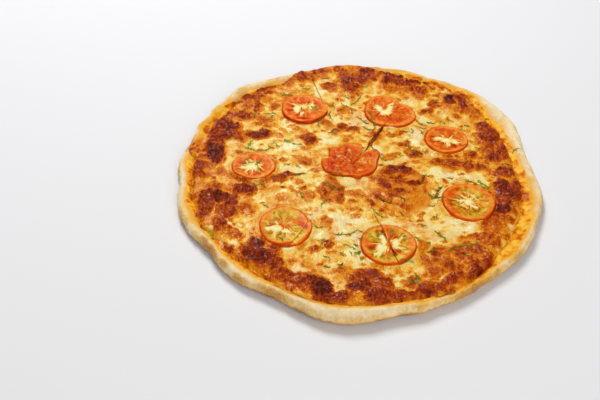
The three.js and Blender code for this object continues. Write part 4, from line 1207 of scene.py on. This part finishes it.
def make_sauce(number, cuts):
    piece = unit_slab(f"sauce_wedge_{number}", SAUCE_COLUMNS, HIDDEN_ROWS + BAND_ROWS)
    u, v, w = read_points(piece)
    row = v * (HIDDEN_ROWS + BAND_ROWS)
    bearing = np.mod(lerp(cuts[0], cuts[1], u), 360)
    far_x, far_y = place_in_wedge(cuts, u, sauce_edge_at(bearing))
    end = sauce_end_at(bearing) + 1.6 * noise(far_x, far_y, 9, 101) + 0.7 * noise(far_x, far_y, 3.5, 102)
    start = cheese_edge_at(bearing) - BAND_FROM
    first = lerp(tip_of(cuts), start, row_share(row, 0, HIDDEN_ROWS))
    distance = lerp(first, end, row_share(row, HIDDEN_ROWS, HIDDEN_ROWS + BAND_ROWS))
    x, y = place_in_wedge(cuts, u, distance)
    thin = 1 - smoothstep(end - distance, 0, 3.5)
    lumps = 0.4 * noise(x, y, 5, 103) + 0.3 * noise(x, y, 2.4, 104)
    depth = lerp(SAUCE + GAP + lumps * smoothstep(distance, start, start + 4), 0.1, thin ** 2)
    move_points(piece, *hand_shaped(x, y), crust_top(x, y) + np.where(w > 0.5, depth, -SAUCE_BITE))
    sx, sy = stirred(x, y)
    caught = 0.2 + 0.26 * noise(sx, sy, 8, 105) + 0.32 * noise(sx, sy, 3.5, 106)
    caught = caught + 0.22 * noise(x, y, 1.8, 107)
    caught = caught + 0.22 * (1 - smoothstep(distance - cheese_end_at(bearing), 0, 3))
    caught = np.maximum(caught, 1.1 * small_spots(sx + 50, sy, 0.45))
    caught = np.maximum(caught, 0.85 * smoothstep(ovals(sx, sy, BROWNED, 0.2, 1.9), 0.25, 0.9))
    attach(piece, caught=caught, thin=0.75 * smoothstep(thin, 0.3, 1) * (1 - 0.4 * caught))
    close_up(piece, sauce_film)
    return piece


sauces = [make_sauce(k + 1, cuts) for k, cuts in enumerate(wedges)]
print(len(sauces), "wedges of sauce,", [triangles(piece) for piece in sauces], "triangles")

# %% [markdown]
# ## Cheese
#
# The cheese is what the eye goes to, so its upper face is divided to less than a millimetre and
# every point of it is raised by the heights above. Its outer edge is ragged, as cheese that ran.

# %% Wedges of cheese
CHEESE_COLUMNS, CHEESE_ROWS, CHEESE_FINER = 10, 12, 13
THINNEST = 0.3                       # a melted edge is never thinner than this


def make_cheese(number, cuts):
    piece = unit_slab(f"cheese_wedge_{number}", CHEESE_COLUMNS, CHEESE_ROWS, CHEESE_FINER)
    u, v, w = read_points(piece)
    bearing = np.mod(lerp(cuts[0], cuts[1], u), 360)
    x, y = place_in_wedge(cuts, u, lerp(tip_of(cuts), cheese_end_at(bearing), v))
    brown, milky, oily, run_out = looks(x, y)
    under = bed(x, y)
    height = np.where(w > 0.5, np.maximum(cheese_top(x, y, brown), under + THINNEST), under)
    move_points(piece, *hand_shaped(x, y), height)
    attach(piece, browned=brown, milky=milky, oily=oily, run_out=run_out)
    close_up(piece, mozzarella)
    return piece


cheeses = [make_cheese(k + 1, cuts) for k, cuts in enumerate(wedges)]
print(len(cheeses), "wedges of cheese,", [triangles(piece) for piece in cheeses], "triangles")

# %% [markdown]
# ## Slices of tomato
#
# A slice starts as a ball of many rings. The rings near the top become its cut face, the next ones
# its side, the last ones its underside. The face carries the star of the core, the chambers of gel,
# which have sunk, and fine threads that run out from the core. The knife went through most slices,
# so each wedge gets its own piece, cut from the ball with the bisect operator.

# %% What each slice looks like
# For each slice, the cream star of its core, its chambers of gel and its deeper red. A row is: across
# and up from the middle of the slice, half length, half width, turn, strength (below 0 is paler).
CORES = [
    [(-6.5, -2, 3.6, 4.6, 0, 1), (-0.5, 1.5, 4.4, 3.6, 0, 0.75), (6.2, 2.8, 2.4, 4.8, 0, 0.95),
     (-2, -9, 1.3, 4, 10, 0.8), (-9, 3.5, 4, 1.2, 150, 0.7), (7, 8, 1, 3, -20, 0.7)],
    [(-4.4, 1.6, 3.2, 5.4, 30, 1), (4.8, 1.6, 2.8, 5.8, -15, 1), (0.8, -3.4, 4.8, 3.8, 0, 1),
     (-8, 4, 3, 1, 150, 0.6), (7.5, 6, 2.6, 1, 60, 0.6)],
    [(-6.5, -0.5, 4.6, 2, -10, 0.95), (0, -3, 4.6, 2.6, -10, 1), (6.6, -4.6, 3.6, 2.4, -15, 1),
     (3.5, 1.5, 1, 4, -35, 0.8), (-3, 2.5, 1, 3, 20, 0.6), (1.2, -8, 0.9, 3.2, 0, 0.7),
     (9.5, -1, 2.4, 0.8, 10, 0.6)],
    [(-1.5, -2.5, 5.6, 5, 0, 1), (-8, -2.5, 4.4, 1.8, 10, 0.8), (-2, 4.5, 1.1, 3.4, 10, 0.75),
     (4.6, 0, 3.6, 1.3, 30, 0.8), (3, -6.5, 3.4, 1, -50, 0.7), (-5, 2.5, 3.4, 1, 130, 0.7)],
    [(-4.5, -3.5, 2, 1.2, 20, 0.5), (5.5, 2.5, 2.4, 1, 50, 0.55), (3, -5.5, 2, 0.8, -20, 0.45),
     (-9, 2, 1.6, 0.8, 40, 0.4)],
    [(-10.5, -5.4, 3.8, 2.4, 10, 0.7), (-5, -5, 5, 3.4, 0, 1), (2.6, -7.6, 5, 2, -18, 0.9),
     (-5, 1, 1.3, 4, 10, 0.65), (-7, -11, 1.2, 3.6, 15, 0.6), (7, 1, 6, 1, -12, 0.55),
     (4, -13, 4, 1.2, -50, 0.6), (-12.5, 1, 2.4, 1.2, 120, 0.6)],
    [(-5.2, -4.6, 4.6, 4.4, 0, 1), (-3.2, 3.5, 2.2, 7, 12, 0.95), (5.6, -0.5, 2.8, 5.4, 0, 1),
     (-8, -9.5, 2.4, 3.6, -30, 0.8), (9.5, 4.5, 1.6, 4.4, -30, 0.75), (10.5, -3.8, 3, 1.4, -20, 0.7)],
    [(-0.6, -1, 4.4, 3.8, 0, 1), (-6, 0.5, 5, 1.2, -10, 0.9), (3, -6.5, 4, 1.8, -40, 0.95),
     (5, 5, 5.4, 1, -38, 0.85), (2, 9, 7.5, 0.8, -30, 0.6), (-4, -7, 1.2, 4, 30, 0.7),
     (-3.5, 5, 1.1, 4.4, 35, 0.7), (9, 1, 4.6, 0.8, -25, 0.55)],
]
GELS = [
    [(3, -3, 3, 1.6, 0, 0.5), (9, -3.5, 3, 1.2, 0, 0.4)],
    [(9, -2, 3.4, 2.4, 30, 0.45), (-10, 0, 2, 3, 0, 0.3)],
    [(-9, 6, 4, 2.4, 20, 0.45), (-1.4, -5.8, 1.4, 1.2, 0, 0.8), (8, 6.5, 4, 2, -30, 0.45),
     (-9, -7, 3, 1.6, 0, 0.35)],
    [(6, -6.5, 4, 2, 0, 0.55), (-9, -8, 4, 2, -20, 0.5), (7, 3, 3, 2, 0, 0.4)],
    [(-4, -3, 5, 2.4, 0, 0.45), (5, 3, 4, 2, 40, 0.5), (-9, 0, 3, 2, 0, 0.35), (8, -3, 3, 1.6, 0, 0.4)],
    [(1, 11.5, 11, 5.5, -8, 1), (10, -6, 4.4, 6.5, 20, 0.95), (-14, -3, 4, 7.5, 0, 0.95),
     (-5, -11.5, 10, 4.6, -10, 0.95), (4, -14, 8, 4, 20, 0.9), (-9, 4, 5, 4, 20, 0.8),
     (-2, 4, 5, 5, 0, 0.6)],
    [(-10, 8, 6, 7.6, 30, 1), (-9, -10.5, 8, 5, -35, 1), (11, 6, 5, 8.5, -25, 1), (12, -5, 4, 5, 0, 0.9),
     (3, -14, 7, 3.6, 0, 0.9), (-4, 2, 3, 9, 10, 0.7), (6, 0, 4, 7, 0, 0.7)],
    [(5, 9, 11, 4.6, -32, 1), (4.6, -12, 9.5, 5, 20, 1), (-9, -1, 4.6, 7, 0, 0.9),
     (-6, -9, 4, 5, 30, 0.8), (13, -4, 3, 5, 0, 0.75), (-5, 10, 4.4, 3.6, 0, 0.6),
     (5, 3, 6, 2.4, -30, 0.8)],
]
DEEPS = [
    [(0, -16, 16, 2.6, 0, 0.35), (3, 8, 8, 3, 0, 0.12)],
    [(-9, -8, 5, 3, 0, 0.15), (0, 9, 7, 6, 0, -0.12)],
    [(0, 12, 12, 2.6, 0, 0.15), (7, -10, 8, 3, 10, 0.15), (-12, -2, 3, 8, 0, 0.12)],
    [(0, 10, 12, 4, 0, -0.1), (9, -2, 5, 7, 0, -0.05)],
    [(-14, -8, 9, 5, -30, 0.15), (-2, 8, 1.6, 8, 10, 0.3), (2, -2, 1.4, 9, 20, 0.3),
     (5, -14, 7, 2.6, 0, 0.2), (-9, 6, 6, 1.6, 30, 0.25), (-13, 3, 1.4, 6, 20, 0.3),
     (9, -6, 7, 1.6, 10, 0.15)],
    [(14, 1, 4, 3, 20, 0.3), (16, -6, 2.4, 6, 0, 0.15), (-12, 9, 4, 4, 0, -0.3), (8, 3, 4, 2, -20, -0.1)],
    [(-2.6, 10, 1.4, 9, 10, 0.5), (4, -10, 2.6, 5, 0, 0.3), (-16, -2, 4, 5, 0, -0.05),
     (9, -13, 4, 3, 0, -0.25)],
    [(-13, 6, 4, 6, 0, 0.05), (-9, -8, 3, 2, 0, 0.3), (9, -1, 6, 3, -25, -0.3),
     (-5, 11, 5, 3, 30, -0.15)],
]

# %% [markdown]
# Everything on the face is placed from the middle of the slice, so it moves and turns with it. Fine
# rays run out from the star of the core, and the chambers of gel lie sunk between them. The slice
# that the cuts tore has lost its chambers and shows crumbs of core instead.

# %% The face of a slice
FACE_LEVEL = 0.96                    # the torn slice has no hollow: its face lies at this share
# share of the way from the top pole to the bottom one, share of the radius, share of the thickness
PROFILE = np.array([
    [0, 0, 0.93], [0.22, 0.32, 0.93], [0.44, 0.62, 0.86], [0.6, 0.84, 0.97], [0.68, 0.92, 0.99],
    [0.73, 0.965, 0.94], [0.78, 0.99, 0.78], [0.83, 1, 0.5], [0.88, 0.985, 0.2], [0.92, 0.94, 0.02],
    [1, 0, 0],
])


def face_height(index, dx, dy, share):
    """Relief of the cut face, and how much of each point is core, gel and deep red."""
    torn = index == MASHED
    sx = dx + 0.9 * noise(dx, dy, 3.5, 121 + index) + 0.45 * noise(dx, dy, 1.4, 131 + index)
    sy = dy + 0.9 * noise(dx, dy, 3.5, 141 + index) + 0.45 * noise(dx, dy, 1.4, 151 + index)
    turn = np.arctan2(dy, dx) + 0.08 * noise(dx, dy, 3, 160 + index)
    hairs = (1 - np.abs(noise(turn * 5.5 + 20, share * 1.8, 1, 161 + index))) ** 4
    star = ovals(sx, sy, CORES[index], 0.35, 1.55)
    around = ovals(sx, sy, CORES[index], 1.1, 2.6) * (1 - star)
    core = np.clip(star + 0.85 * around * smoothstep(hairs, 0.3, 0.75) * smoothstep(share, 0.08, 0.2), 0, 1)
    wet = ovals(sx, sy, GELS[index], 0.65, 1.5) * (0.85 + 0.3 * noise(dx, dy, 2.6, 174))
    gel = np.clip(wet - star, 0, 1) * (1 - smoothstep(share + 0.05 * noise(dx, dy, 5, 167), 0.83, 0.9))
    core = np.clip(core + 0.4 * gel * smoothstep(noise(dx, dy, 1.8, 175 + index), 0.35, 0.8), 0, 1)
    inside = in_band(share, 0.12, 0.3, 0.8, 0.9)
    if torn:
        pulp = smoothstep(noise(dx, dy, 6, 168) + 0.5 * noise(dx, dy, 2.2, 169), -0.1, 0.6)
        gel = 0.1 * pulp * (1 - smoothstep(share, 0.45, 0.8))
        bits = smoothstep(noise(dx, 1.6 * dy, 1.8, 170) + 0.6 * noise(dx, dy, 4, 171), 0.35, 0.9)
        core = np.maximum(0.5 * core, 0.56 * bits * (1 - smoothstep(share, 0.6, 0.95)))
    deep = 0.37 + 0.1 * torn
    for at_x, at_y, *shape, more in DEEPS[index]:
        deep = deep + more * (1 - smoothstep(oval_share(sx, sy, (at_x, at_y), *shape), 0.3, 1.2))
    blotches = 0.16 * noise(dx, dy, 3.4, 163) + 0.12 * noise(dx, dy, 1.6, 176)
    deep = deep + 0.3 * around * (1 - 1.7 * hairs) + 0.2 * (0.5 - hairs) * inside
    deep = deep + (1 + 0.4 * torn) * blotches
    deep = deep - 0.2 * smoothstep(share, 0.76, 0.86) + (0.4 - 0.25 * torn) * smoothstep(share, 0.91, 0.98)
    if torn:
        deep = 0.5 + 0.75 * (deep - 0.5)
    rough = (0.4 * hairs - 0.1) * inside + (0.2 + 0.3 * torn) * noise(dx, dy, 3.6, 164)
    rough = rough + (0.14 + 0.3 * torn) * noise(dx, dy, 1.7, 165)
    return 0.3 * star - 0.6 * gel + rough, core, gel, deep


# %% [markdown]
# The ball is flattened ring by ring into a slice. Cutting it with the bisect operator, which also
# fills the cut, leaves each part closed.

# %% Slices of tomato
TOMATO_SEGMENTS, TOMATO_RINGS = 144, 64
TOMATO_BITE = 0.5                    # how far a slice has sunk into the cheese under it
FACE_END, SIDE_FROM, SIDE_FULL = 0.7, 0.71, 0.77   # where the face ends and the side starts, down a slice


def cut_off(centre, normal):
    """Cuts the piece in edit mode and keeps the side that the normal points to."""
    bpy.ops.mesh.select_all(action="SELECT")
    bpy.ops.mesh.bisect(
        plane_co=centre, plane_no=normal, use_fill=True, clear_inner=True, threshold=1e-7)


def make_slice(index, tomato, number, at, half, rise):
    """The part of one slice of tomato that lies on one wedge."""
    deselect_all()
    bpy.ops.mesh.primitive_uv_sphere_add(segments=TOMATO_SEGMENTS, ring_count=TOMATO_RINGS, radius=1)
    piece = bpy.context.object
    piece.name = f"tomato_slice_{index + 1}_on_{number}"
    px, py, pz = read_points(piece)
    fall, angle = np.arccos(np.clip(pz, -1, 1)) / np.pi, np.arctan2(py, px)
    share = np.interp(fall, PROFILE[:, 0], PROFILE[:, 1])
    level = np.interp(fall, PROFILE[:, 0], PROFILE[:, 2])
    uneven = 1 + 0.02 * np.sin(3 * angle + index + 1) + 0.012 * np.sin(5 * angle + 2 * index + 2)
    if index == MASHED:
        level = np.where(fall < FACE_END, FACE_LEVEL, level)
        reach = share * uneven * read_round(TORN, np.degrees(angle))
        dx = CUT_CENTRE[0] - at[0] + reach * np.cos(angle)
        dy = CUT_CENTRE[1] - at[1] + reach * np.sin(angle)
    else:
        u, v = share * uneven * half[0] * np.cos(angle), share * uneven * half[1] * np.sin(angle)
        c, s = math.cos(math.radians(tomato["turn"])), math.sin(math.radians(tomato["turn"]))
        dx, dy = u * c - v * s, u * s + v * c
    relief, core, gel, deep = face_height(index, dx, dy, share)
    if tomato["on"][number].get("plain"):
        core = 0 * core
    upper = smoothstep(level, 0.6, 0.9) * (fall < 0.8)
    bottom = seat_height(tomato) + GAP - TOMATO_BITE
    z = bottom + level * (TOMATO + rise + TOMATO_BITE) + relief * upper
    flank = 0.52 + 0.16 * (index == 0) + 0.08 * (index == MASHED) + 0.12 * noise(dx, dy, 5, 166)
    deep = lerp(deep, flank, smoothstep(fall, SIDE_FROM, SIDE_FULL))
    move_points(piece, at[0] + dx, at[1] + dy, z)
    attach(piece, core=core * upper, gel=gel * upper, deep=deep)
    bpy.ops.object.mode_set(mode="EDIT")
    away = math.hypot(at[0] - CUT_CENTRE[0], at[1] - CUT_CENTRE[1])
    for bearing, side in zip(wedges[number - 1], (1, -1)):
        a, kerf = math.radians(bearing), float(half_kerf(bearing, np.array(away)))
        normal = (-math.sin(a) * side, math.cos(a) * side, 0)
        cut_off([(p + kerf * n) * MM for p, n in zip((*CUT_CENTRE, 0), normal)], normal)
    bpy.ops.object.mode_set(mode="OBJECT")
    close_up(piece, tomato_flesh, 50)
    return piece


slices = []
for index, tomato in enumerate(TOMATOES):
    for number, at, half, rise in pieces_of(tomato):
        piece = make_slice(index, tomato, number, at, half, rise)
        slices.append((piece, f"tomato_{index + 1}_on_{number}"))
print(len(slices), "pieces of tomato,", sum(triangles(piece) for piece, _ in slices), "triangles")

# %% [markdown]
# ## Each piece takes the place of its solid
#
# Every wedge layer and every slice of tomato stands for one solid of the frame and rides with the
# pizza. The solids are hidden from here on, so a ray sent down finds the finished surface.

# %% Hand the pieces over
for number, (crust, sauce, cheese) in enumerate(zip(crusts, sauces, cheeses), 1):
    for piece, layer in ((crust, "crust"), (sauce, "sauce"), (cheese, "cheese")):
        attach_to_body(piece, "root")
        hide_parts(f"{layer}_{number}")
for piece, node in slices:
    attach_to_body(piece, "root")
    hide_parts(node)
bpy.context.view_layer.update()
print("replaced", 3 * len(crusts) + len(slices), "solids")

# %% [markdown]
# ## Shreds of herb
#
# The herb was chopped over the pizza by hand. A shred is a thin stem that follows the surface and
# lifts a little at its ends, with a few narrow leaflets that fork off it. A broad leaf is the same
# with more and wider leaflets. One blade is made as a thin slab, and every stem and leaflet is a copy
# of it, pinched at both ends and bent along its own path. Each path is laid on the pizza by rays sent
# straight down.

# %% Where the herbs lie
# dried (0 fresh, 1 brown), width, then the path in plan
HERBS = [
    (0.3, 3.0, (-69, 104), (-61, 106)), (0.3, 1.6, (-84, 76), (-78, 78), (-73, 77)),
    (0.2, 3.2, (-80, 70), (-75, 72)), (0.6, 1.6, (-97, 76), (-93, 74), (-90, 71)),
    (0.5, 1.2, (-52, 115), (-42, 117)), (0.7, 1.6, (-33, 133), (-25, 135)),
    (0.3, 3.6, (6, 121), (11, 122)), (0.5, 1.8, (6, 108), (1, 100), (-5, 92)),
    (0.4, 2.0, (-10, 106), (-6, 102)), (0.4, 1.8, (-13, 96), (-10, 90), (-8, 91)),
    (0.5, 1.6, (-5, 88), (-3, 82)), (0.1, 2.0, (-20, 97), (-21, 90), (-19, 84)),
    (0.5, 1.2, (-23, 82), (-24, 76), (-22, 70)), (0.5, 1.6, (-32, 72), (-34, 66), (-34, 61)),
    (0.7, 2.0, (-26, 51), (-22, 55), (-19, 58)), (0.4, 2.0, (8, 82), (13, 77), (14, 70)),
    (0.4, 1.8, (14, 70), (15, 64), (17, 60)), (0.6, 1.6, (5, 62), (10, 58), (15, 57)),
    (0.5, 1.4, (0, 78), (6, 70), (10, 66)), (0.5, 1.6, (40, 58), (44, 56)),
    (0.4, 1.6, (48, 62), (50, 58), (48, 55)), (0.5, 1.8, (71, 105), (76, 103)),
    (0.4, 2.0, (80, 77), (86, 75)), (0.4, 1.8, (76, 73), (80, 71)), (0.5, 2.0, (63, 72), (69, 70)),
    (0.4, 1.8, (55, 69), (60, 67)), (0.6, 1.8, (56, 63), (60, 61)), (0.6, 1.6, (57, 59), (57, 53)),
    (0.3, 1.8, (95, 65), (95, 63), (93, 61)), (0.4, 1.6, (96, 69), (100, 67)),
    (0.2, 3.0, (-91, 38), (-94, 33), (-96, 28)), (0.3, 1.8, (-95, 29), (-88, 25), (-80, 26), (-75, 30)),
    (0.1, 3.6, (-90, 25), (-84, 23)), (0.4, 2.2, (-78, 32), (-74, 30)),
    (0.3, 1.8, (-73, 38), (-71, 34), (-70, 30)), (0.2, 4.4, (-64, 41), (-60, 38)),
    (0.3, 1.6, (-58, 36), (-53, 34), (-48, 35)), (0.3, 1.8, (-98, 4), (-96, 8), (-94, 10)),
    (0.3, 1.6, (-94, 10), (-92, 6)), (0.3, 2.0, (-84, 12), (-85, 4), (-84, -4)),
    (0.4, 1.8, (-90, -17), (-85, -19)), (0.4, 1.8, (-83, -17), (-79, -19)),
    (0.3, 2.2, (-63, 9), (-59, 7)), (0.4, 1.8, (-53, 6), (-49, 4)),
    (0.8, 1.6, (-56, -7), (-51, -6), (-46, -3)), (0.5, 1.6, (-49, -24), (-48, -28), (-45, -32)),
    (0.5, 1.4, (-79, -41), (-74, -43)), (0.4, 1.8, (-25, -5), (-18, -2), (-14, -5)),
    (0.5, 1.8, (-28, -12), (-23, -20), (-18, -21)), (0.5, 1.8, (-29, -32), (-30, -37), (-33, -40)),
    (0.4, 1.8, (9, -40), (12, -48), (20, -51)), (0.3, 1.6, (21, 25), (19, 21), (21, 17), (25, 17)),
    (0.5, 1.4, (33, 26), (37, 24)), (0.3, 1.8, (44, 40), (45, 35), (47, 30), (53, 25)),
    (0.8, 1.8, (12, -29), (18, -33), (24, -37)), (0.7, 1.8, (32, -30), (37, -34)),
    (0.6, 2.0, (31, -44), (34, -48)), (0.9, 1.8, (56, 0), (53, -6), (52, -12)),
    (0.4, 1.4, (12, 38), (13, 33), (15, 28)), (0.5, 2.4, (69, -12), (65, -20), (60, -28)),
    (0.5, 2.0, (55, -22), (58, -25), (60, -28)), (0.5, 2.0, (69, -30), (64, -28), (60, -28)),
    (0.4, 1.6, (54, -36), (58, -38)), (0.4, 1.4, (60, -45), (61, -49), (57, -50)),
    (0.4, 1.8, (74, -2), (78, -4)), (0.6, 1.8, (88, -4), (97, -9), (105, -18)),
    (0.2, 2.6, (98, -5), (102, -8)), (0.2, 2.4, (103, -9), (106, -13)), (0.5, 1.6, (102, 39), (106, 36)),
    (0.5, 1.4, (57, 35), (57, 31), (59, 28)), (0.3, 2.0, (134, 33), (136, 36), (139, 38)),
    (0.9, 2.2, (121, 15), (126, 17), (131, 17)), (0.4, 2.0, (-38, -63), (-34, -65), (-30, -63)),
    (0.3, 2.0, (-3, -66), (1, -68)), (0.3, 2.0, (-23, -71), (-15, -72), (-8, -71), (-4, -66)),
    (0.3, 1.8, (-29, -76), (-31, -80), (-32, -83)), (0.4, 1.4, (-14, -81), (-10, -83)),
    (0.4, 1.4, (-9, -83), (-6, -86)), (0.4, 1.4, (-7, -81), (-4, -83)), (0.4, 1.4, (-3, -76), (0, -78)),
    (0.4, 1.2, (-10, -89), (-8, -92)), (0.4, 1.2, (-2, -94), (1, -96)), (0.2, 2.8, (-6, -89), (-2, -91)),
    (0.4, 1.8, (-18, -90), (-14, -92)), (0.4, 1.6, (-30, -94), (-26, -96)),
    (0.5, 1.6, (-15, -101), (-17, -104), (-17, -107)), (0.4, 1.6, (-29, -105), (-25, -107)),
    (0.3, 2.0, (11, -74), (14, -72), (17, -71)), (0.2, 3.6, (22, -72), (24, -68)),
    (0.4, 1.6, (28, -99), (33, -98), (38, -98)), (0.3, 2.8, (39, -107), (40, -114), (40, -120)),
    (0.4, 1.8, (32, -113), (35, -116), (38, -118)), (0.4, 2.0, (40, -73), (44, -75)),
    (0.3, 2.2, (49, -77), (53, -79)), (0.4, 1.6, (46, -58), (50, -60)),
    (0.4, 1.8, (48, -87), (53, -88), (58, -87)), (0.2, 3.6, (57, -64), (61, -69), (65, -74)),
    (0.4, 1.8, (66, -86), (75, -80), (84, -79), (92, -76)), (0.6, 1.6, (65, -97), (65, -103)),
    (0.4, 1.6, (76, -88), (80, -90)), (0.2, 2.4, (-120, -71), (-117, -75), (-114, -80)),
    (0.3, 2.0, (-64, -78), (-60, -80)), (0.4, 1.8, (-51, 84), (-49, 82)),
    (0.3, 2.4, (-41, 85), (-36, 83)), (0.8, 1.6, (72, -34), (75, -31)), (0.8, 1.4, (78, -30), (80, -32)),
]

# %% [markdown]
# A stem wanders a little about its path. Leaflets fork off it to both sides at uneven angles, and
# each bends on its way, so that no two shreds are alike.

# %% Stems and leaflets
BLADE_STEPS, BLADE_THICK, CLEARANCE = 6, 0.18, 0.05
STEM, LEAFLET_LENGTH, LEAFLET_WIDTH, LEAFLET_GAP = 0.56, 3.2, 0.58, 2.5
LEAF_FROM = 2.3                      # rows this wide or wider are leaves, with broad leaflets
LEAF_COUNT, LEAF_BROADER = 7, 2.3    # how many leaflets a leaf has, and how much broader they are
WANDER = 0.9                         # how far a stem strays from its path
FORK = (0.25, 0.9)                   # least and most angle between a stem and a leaflet
CURVE = 0.9                          # most that a leaflet bends on its way, to either side
LOOK_FROM = 60                       # height in millimetres that rays are sent down from


def land(x, y):
    """Height of the finished pizza under a point, in millimetres."""
    start, down = (x * MM, y * MM, LOOK_FROM * MM), (0, 0, -1)
    hit, place, *_ = bpy.context.scene.ray_cast(bpy.context.evaluated_depsgraph_get(), start, down)
    return place[2] / MM if hit else 0.0


def smooth_path(points, steps):
    """Points at even shares of a path that bends gently through the given ones."""
    points = np.array(points, float)
    at = np.linspace(0, len(points) - 1, steps + 1)
    straight = np.stack([np.interp(at, range(len(points)), points[:, k]) for k in (0, 1)], 1)
    for _ in range(2):
        straight[1:-1] = (straight[:-2] + 2 * straight[1:-1] + straight[2:]) / 4
    return straight


def sprig(number, width, points):
    """The blades of one shred: its stem and the leaflets along it, each with a width and a path."""
    stem = smooth_path(points, 2 * BLADE_STEPS)
    stem = stem + WANDER * np.stack([noise(*stem.T, 5, 171), noise(*stem.T, 5, 172)], 1)
    blades = [(STEM * (0.7 + 0.25 * width), stem[::2])]
    leaf = width >= LEAF_FROM
    reach = np.linalg.norm(np.diff(stem, axis=0), axis=1).sum()
    count = LEAF_COUNT if leaf else 1 + round(reach / LEAFLET_GAP)
    for k in range(count):
        place = int(len(stem) * (k + corner_value(number, k, 181)) / count * 0.9)
        way = stem[min(place + 1, len(stem) - 1)] - stem[place - 1 if place else 0]
        side = 1 if corner_value(number, k, 185) > 0.5 else -1
        angle = math.atan2(way[1], way[0]) + side * lerp(*FORK, corner_value(number, k, 182))
        length = LEAFLET_LENGTH * lerp(0.5, 1.25, corner_value(number, k, 183))
        length = length * (0.9 if leaf else 0.6 + 0.2 * width)
        bend = angle + lerp(-CURVE, CURVE, corner_value(number, k, 184))
        middle = stem[place] + 0.5 * length * np.array([math.cos(angle), math.sin(angle)])
        tip = middle + 0.5 * length * np.array([math.cos(bend), math.sin(bend)])
        path = smooth_path([stem[place], middle, tip], BLADE_STEPS)
        blades.append((LEAFLET_WIDTH * (LEAF_BROADER if leaf else 1.0), path))
    return blades


# %% [markdown]
# The height of every path is found before the first blade is copied, because each new object makes
# the next ray slower. A shred is stiff enough to bridge a narrow dip in the cheese.

# %% Blades
LIFT = 0.7                           # the most that a loose end lifts
DIP = 1.2                            # a blade bridges what lies lower than this under its middle
blades = []
for number, (dried, width, *points) in enumerate(HERBS):
    for order, (broad, path) in enumerate(sprig(number, width, points)):
        blades.append((number, order, dried, broad, path, np.array([land(*point) for point in path])))
blade = unit_slab("blade", BLADE_STEPS, 1)
shreds = []
for number, order, dried, broad, path, height in blades:
    shred = copy_of(blade)
    along, across, up = read_points(shred)
    height = np.maximum(height, np.median(height) - DIP)
    height = np.maximum(height, np.convolve(np.pad(height, 1, mode="edge"), np.ones(3) / 3, "valid"))
    share = np.linspace(0, 1, BLADE_STEPS + 1)
    first, last = corner_value(number, order, 173), corner_value(number, order, 175)
    height = height + LIFT * (first * (1 - share) ** 3 * (order == 0) + last * share ** 3) + CLEARANCE
    step = np.gradient(path, axis=0)
    step /= np.linalg.norm(step, axis=1, keepdims=True)
    x, y, z, tx, ty = (np.interp(along, share, row) for row in (*path.T, height, *step.T))
    half = (across - 0.5) * broad * (0.25 + 0.75 * np.sin(np.pi * np.clip(along, 0.02, 0.98)) ** 0.7)
    z = z + BLADE_THICK * up + half * (corner_value(number, order, 176) - 0.5)
    move_points(shred, x - ty * half, y + tx * half, z)
    attach(shred, dried=np.clip(dried + 0.3 * noise(x, y, 3, 174), 0, 1))
    shreds.append(shred)
bpy.data.objects.remove(blade)
herbs = join(shreds, "herb_shreds")
close_up(herbs, green_herb, 50)
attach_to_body(herbs, "root")
print(len(HERBS), "shreds of herb with", len(shreds), "blades,", triangles(herbs), "triangles")

# %% [markdown]
# ## Dusting of flour
#
# Flour from the work table sticks to the bare rim in patches. Each speck is a tiny uneven lump about
# a third to two thirds of a millimetre across, half sunk where a ray finds the crust. The rays
# come before the copies here too.

# %% Where the flour lies
SPECKS = 1500                        # how many are tried
SPECK_SIZES = (0.16, 0.34)           # least and most half width
DUSTED = 0.05                        # noise above this level means that flour stuck there
RIM_CLEAR, SAUCE_CLEAR = 1.2, 0.8    # bare dough that is left at the rim and before the sauce
specks = []
for k in range(SPECKS):
    bearing = np.array(360 * corner_value(k, 1, 191))
    band = rim_at(bearing) - sauce_end_at(bearing) - RIM_CLEAR - SAUCE_CLEAR
    distance = rim_at(bearing) - RIM_CLEAR - band * corner_value(k, 2, 192)
    x, y = plan_point(distance, bearing)
    if noise(x, y, 11, 193) + 0.5 * noise(x, y, 4, 194) < DUSTED:
        continue
    x, y = (float(v) for v in hand_shaped(x, y))
    size = lerp(*SPECK_SIZES, corner_value(k, 3, 195) ** 2)
    shape = [size * lerp(0.7, 1.3, corner_value(k, 4 + way, 196)) for way in range(3)]
    ground = land(x, y)
    if ground > BASE / 2:
        specks.append((shape, (x, y, ground)))
print(len(specks), "specks of flour")

# %% [markdown]
# There are hundreds of specks, so each is a copy of a ball of only twenty faces, stretched unevenly.

# %% Specks of flour
flour_dust, tree, shader = new_paint("wheat_flour")
fill_sockets(tree, shader, {"Base Color": "#F2E8D4", "Roughness": 0.9, "Specular IOR Level": 0.1})
deselect_all()
bpy.ops.mesh.primitive_ico_sphere_add(subdivisions=1, radius=1)
lump = bpy.context.object
corners = read_points(lump)
lumps = []
for shape, place in specks:
    lumps.append(copy_of(lump))
    move_points(lumps[-1], *(at + half * row for at, half, row in zip(place, shape, corners)))
bpy.data.objects.remove(lump)
flour = join(lumps, "flour_specks")
flour.data.materials.clear()
flour.data.materials.append(flour_dust)
bpy.ops.object.shade_smooth()
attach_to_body(flour, "root")
print("flour:", triangles(flour), "triangles")
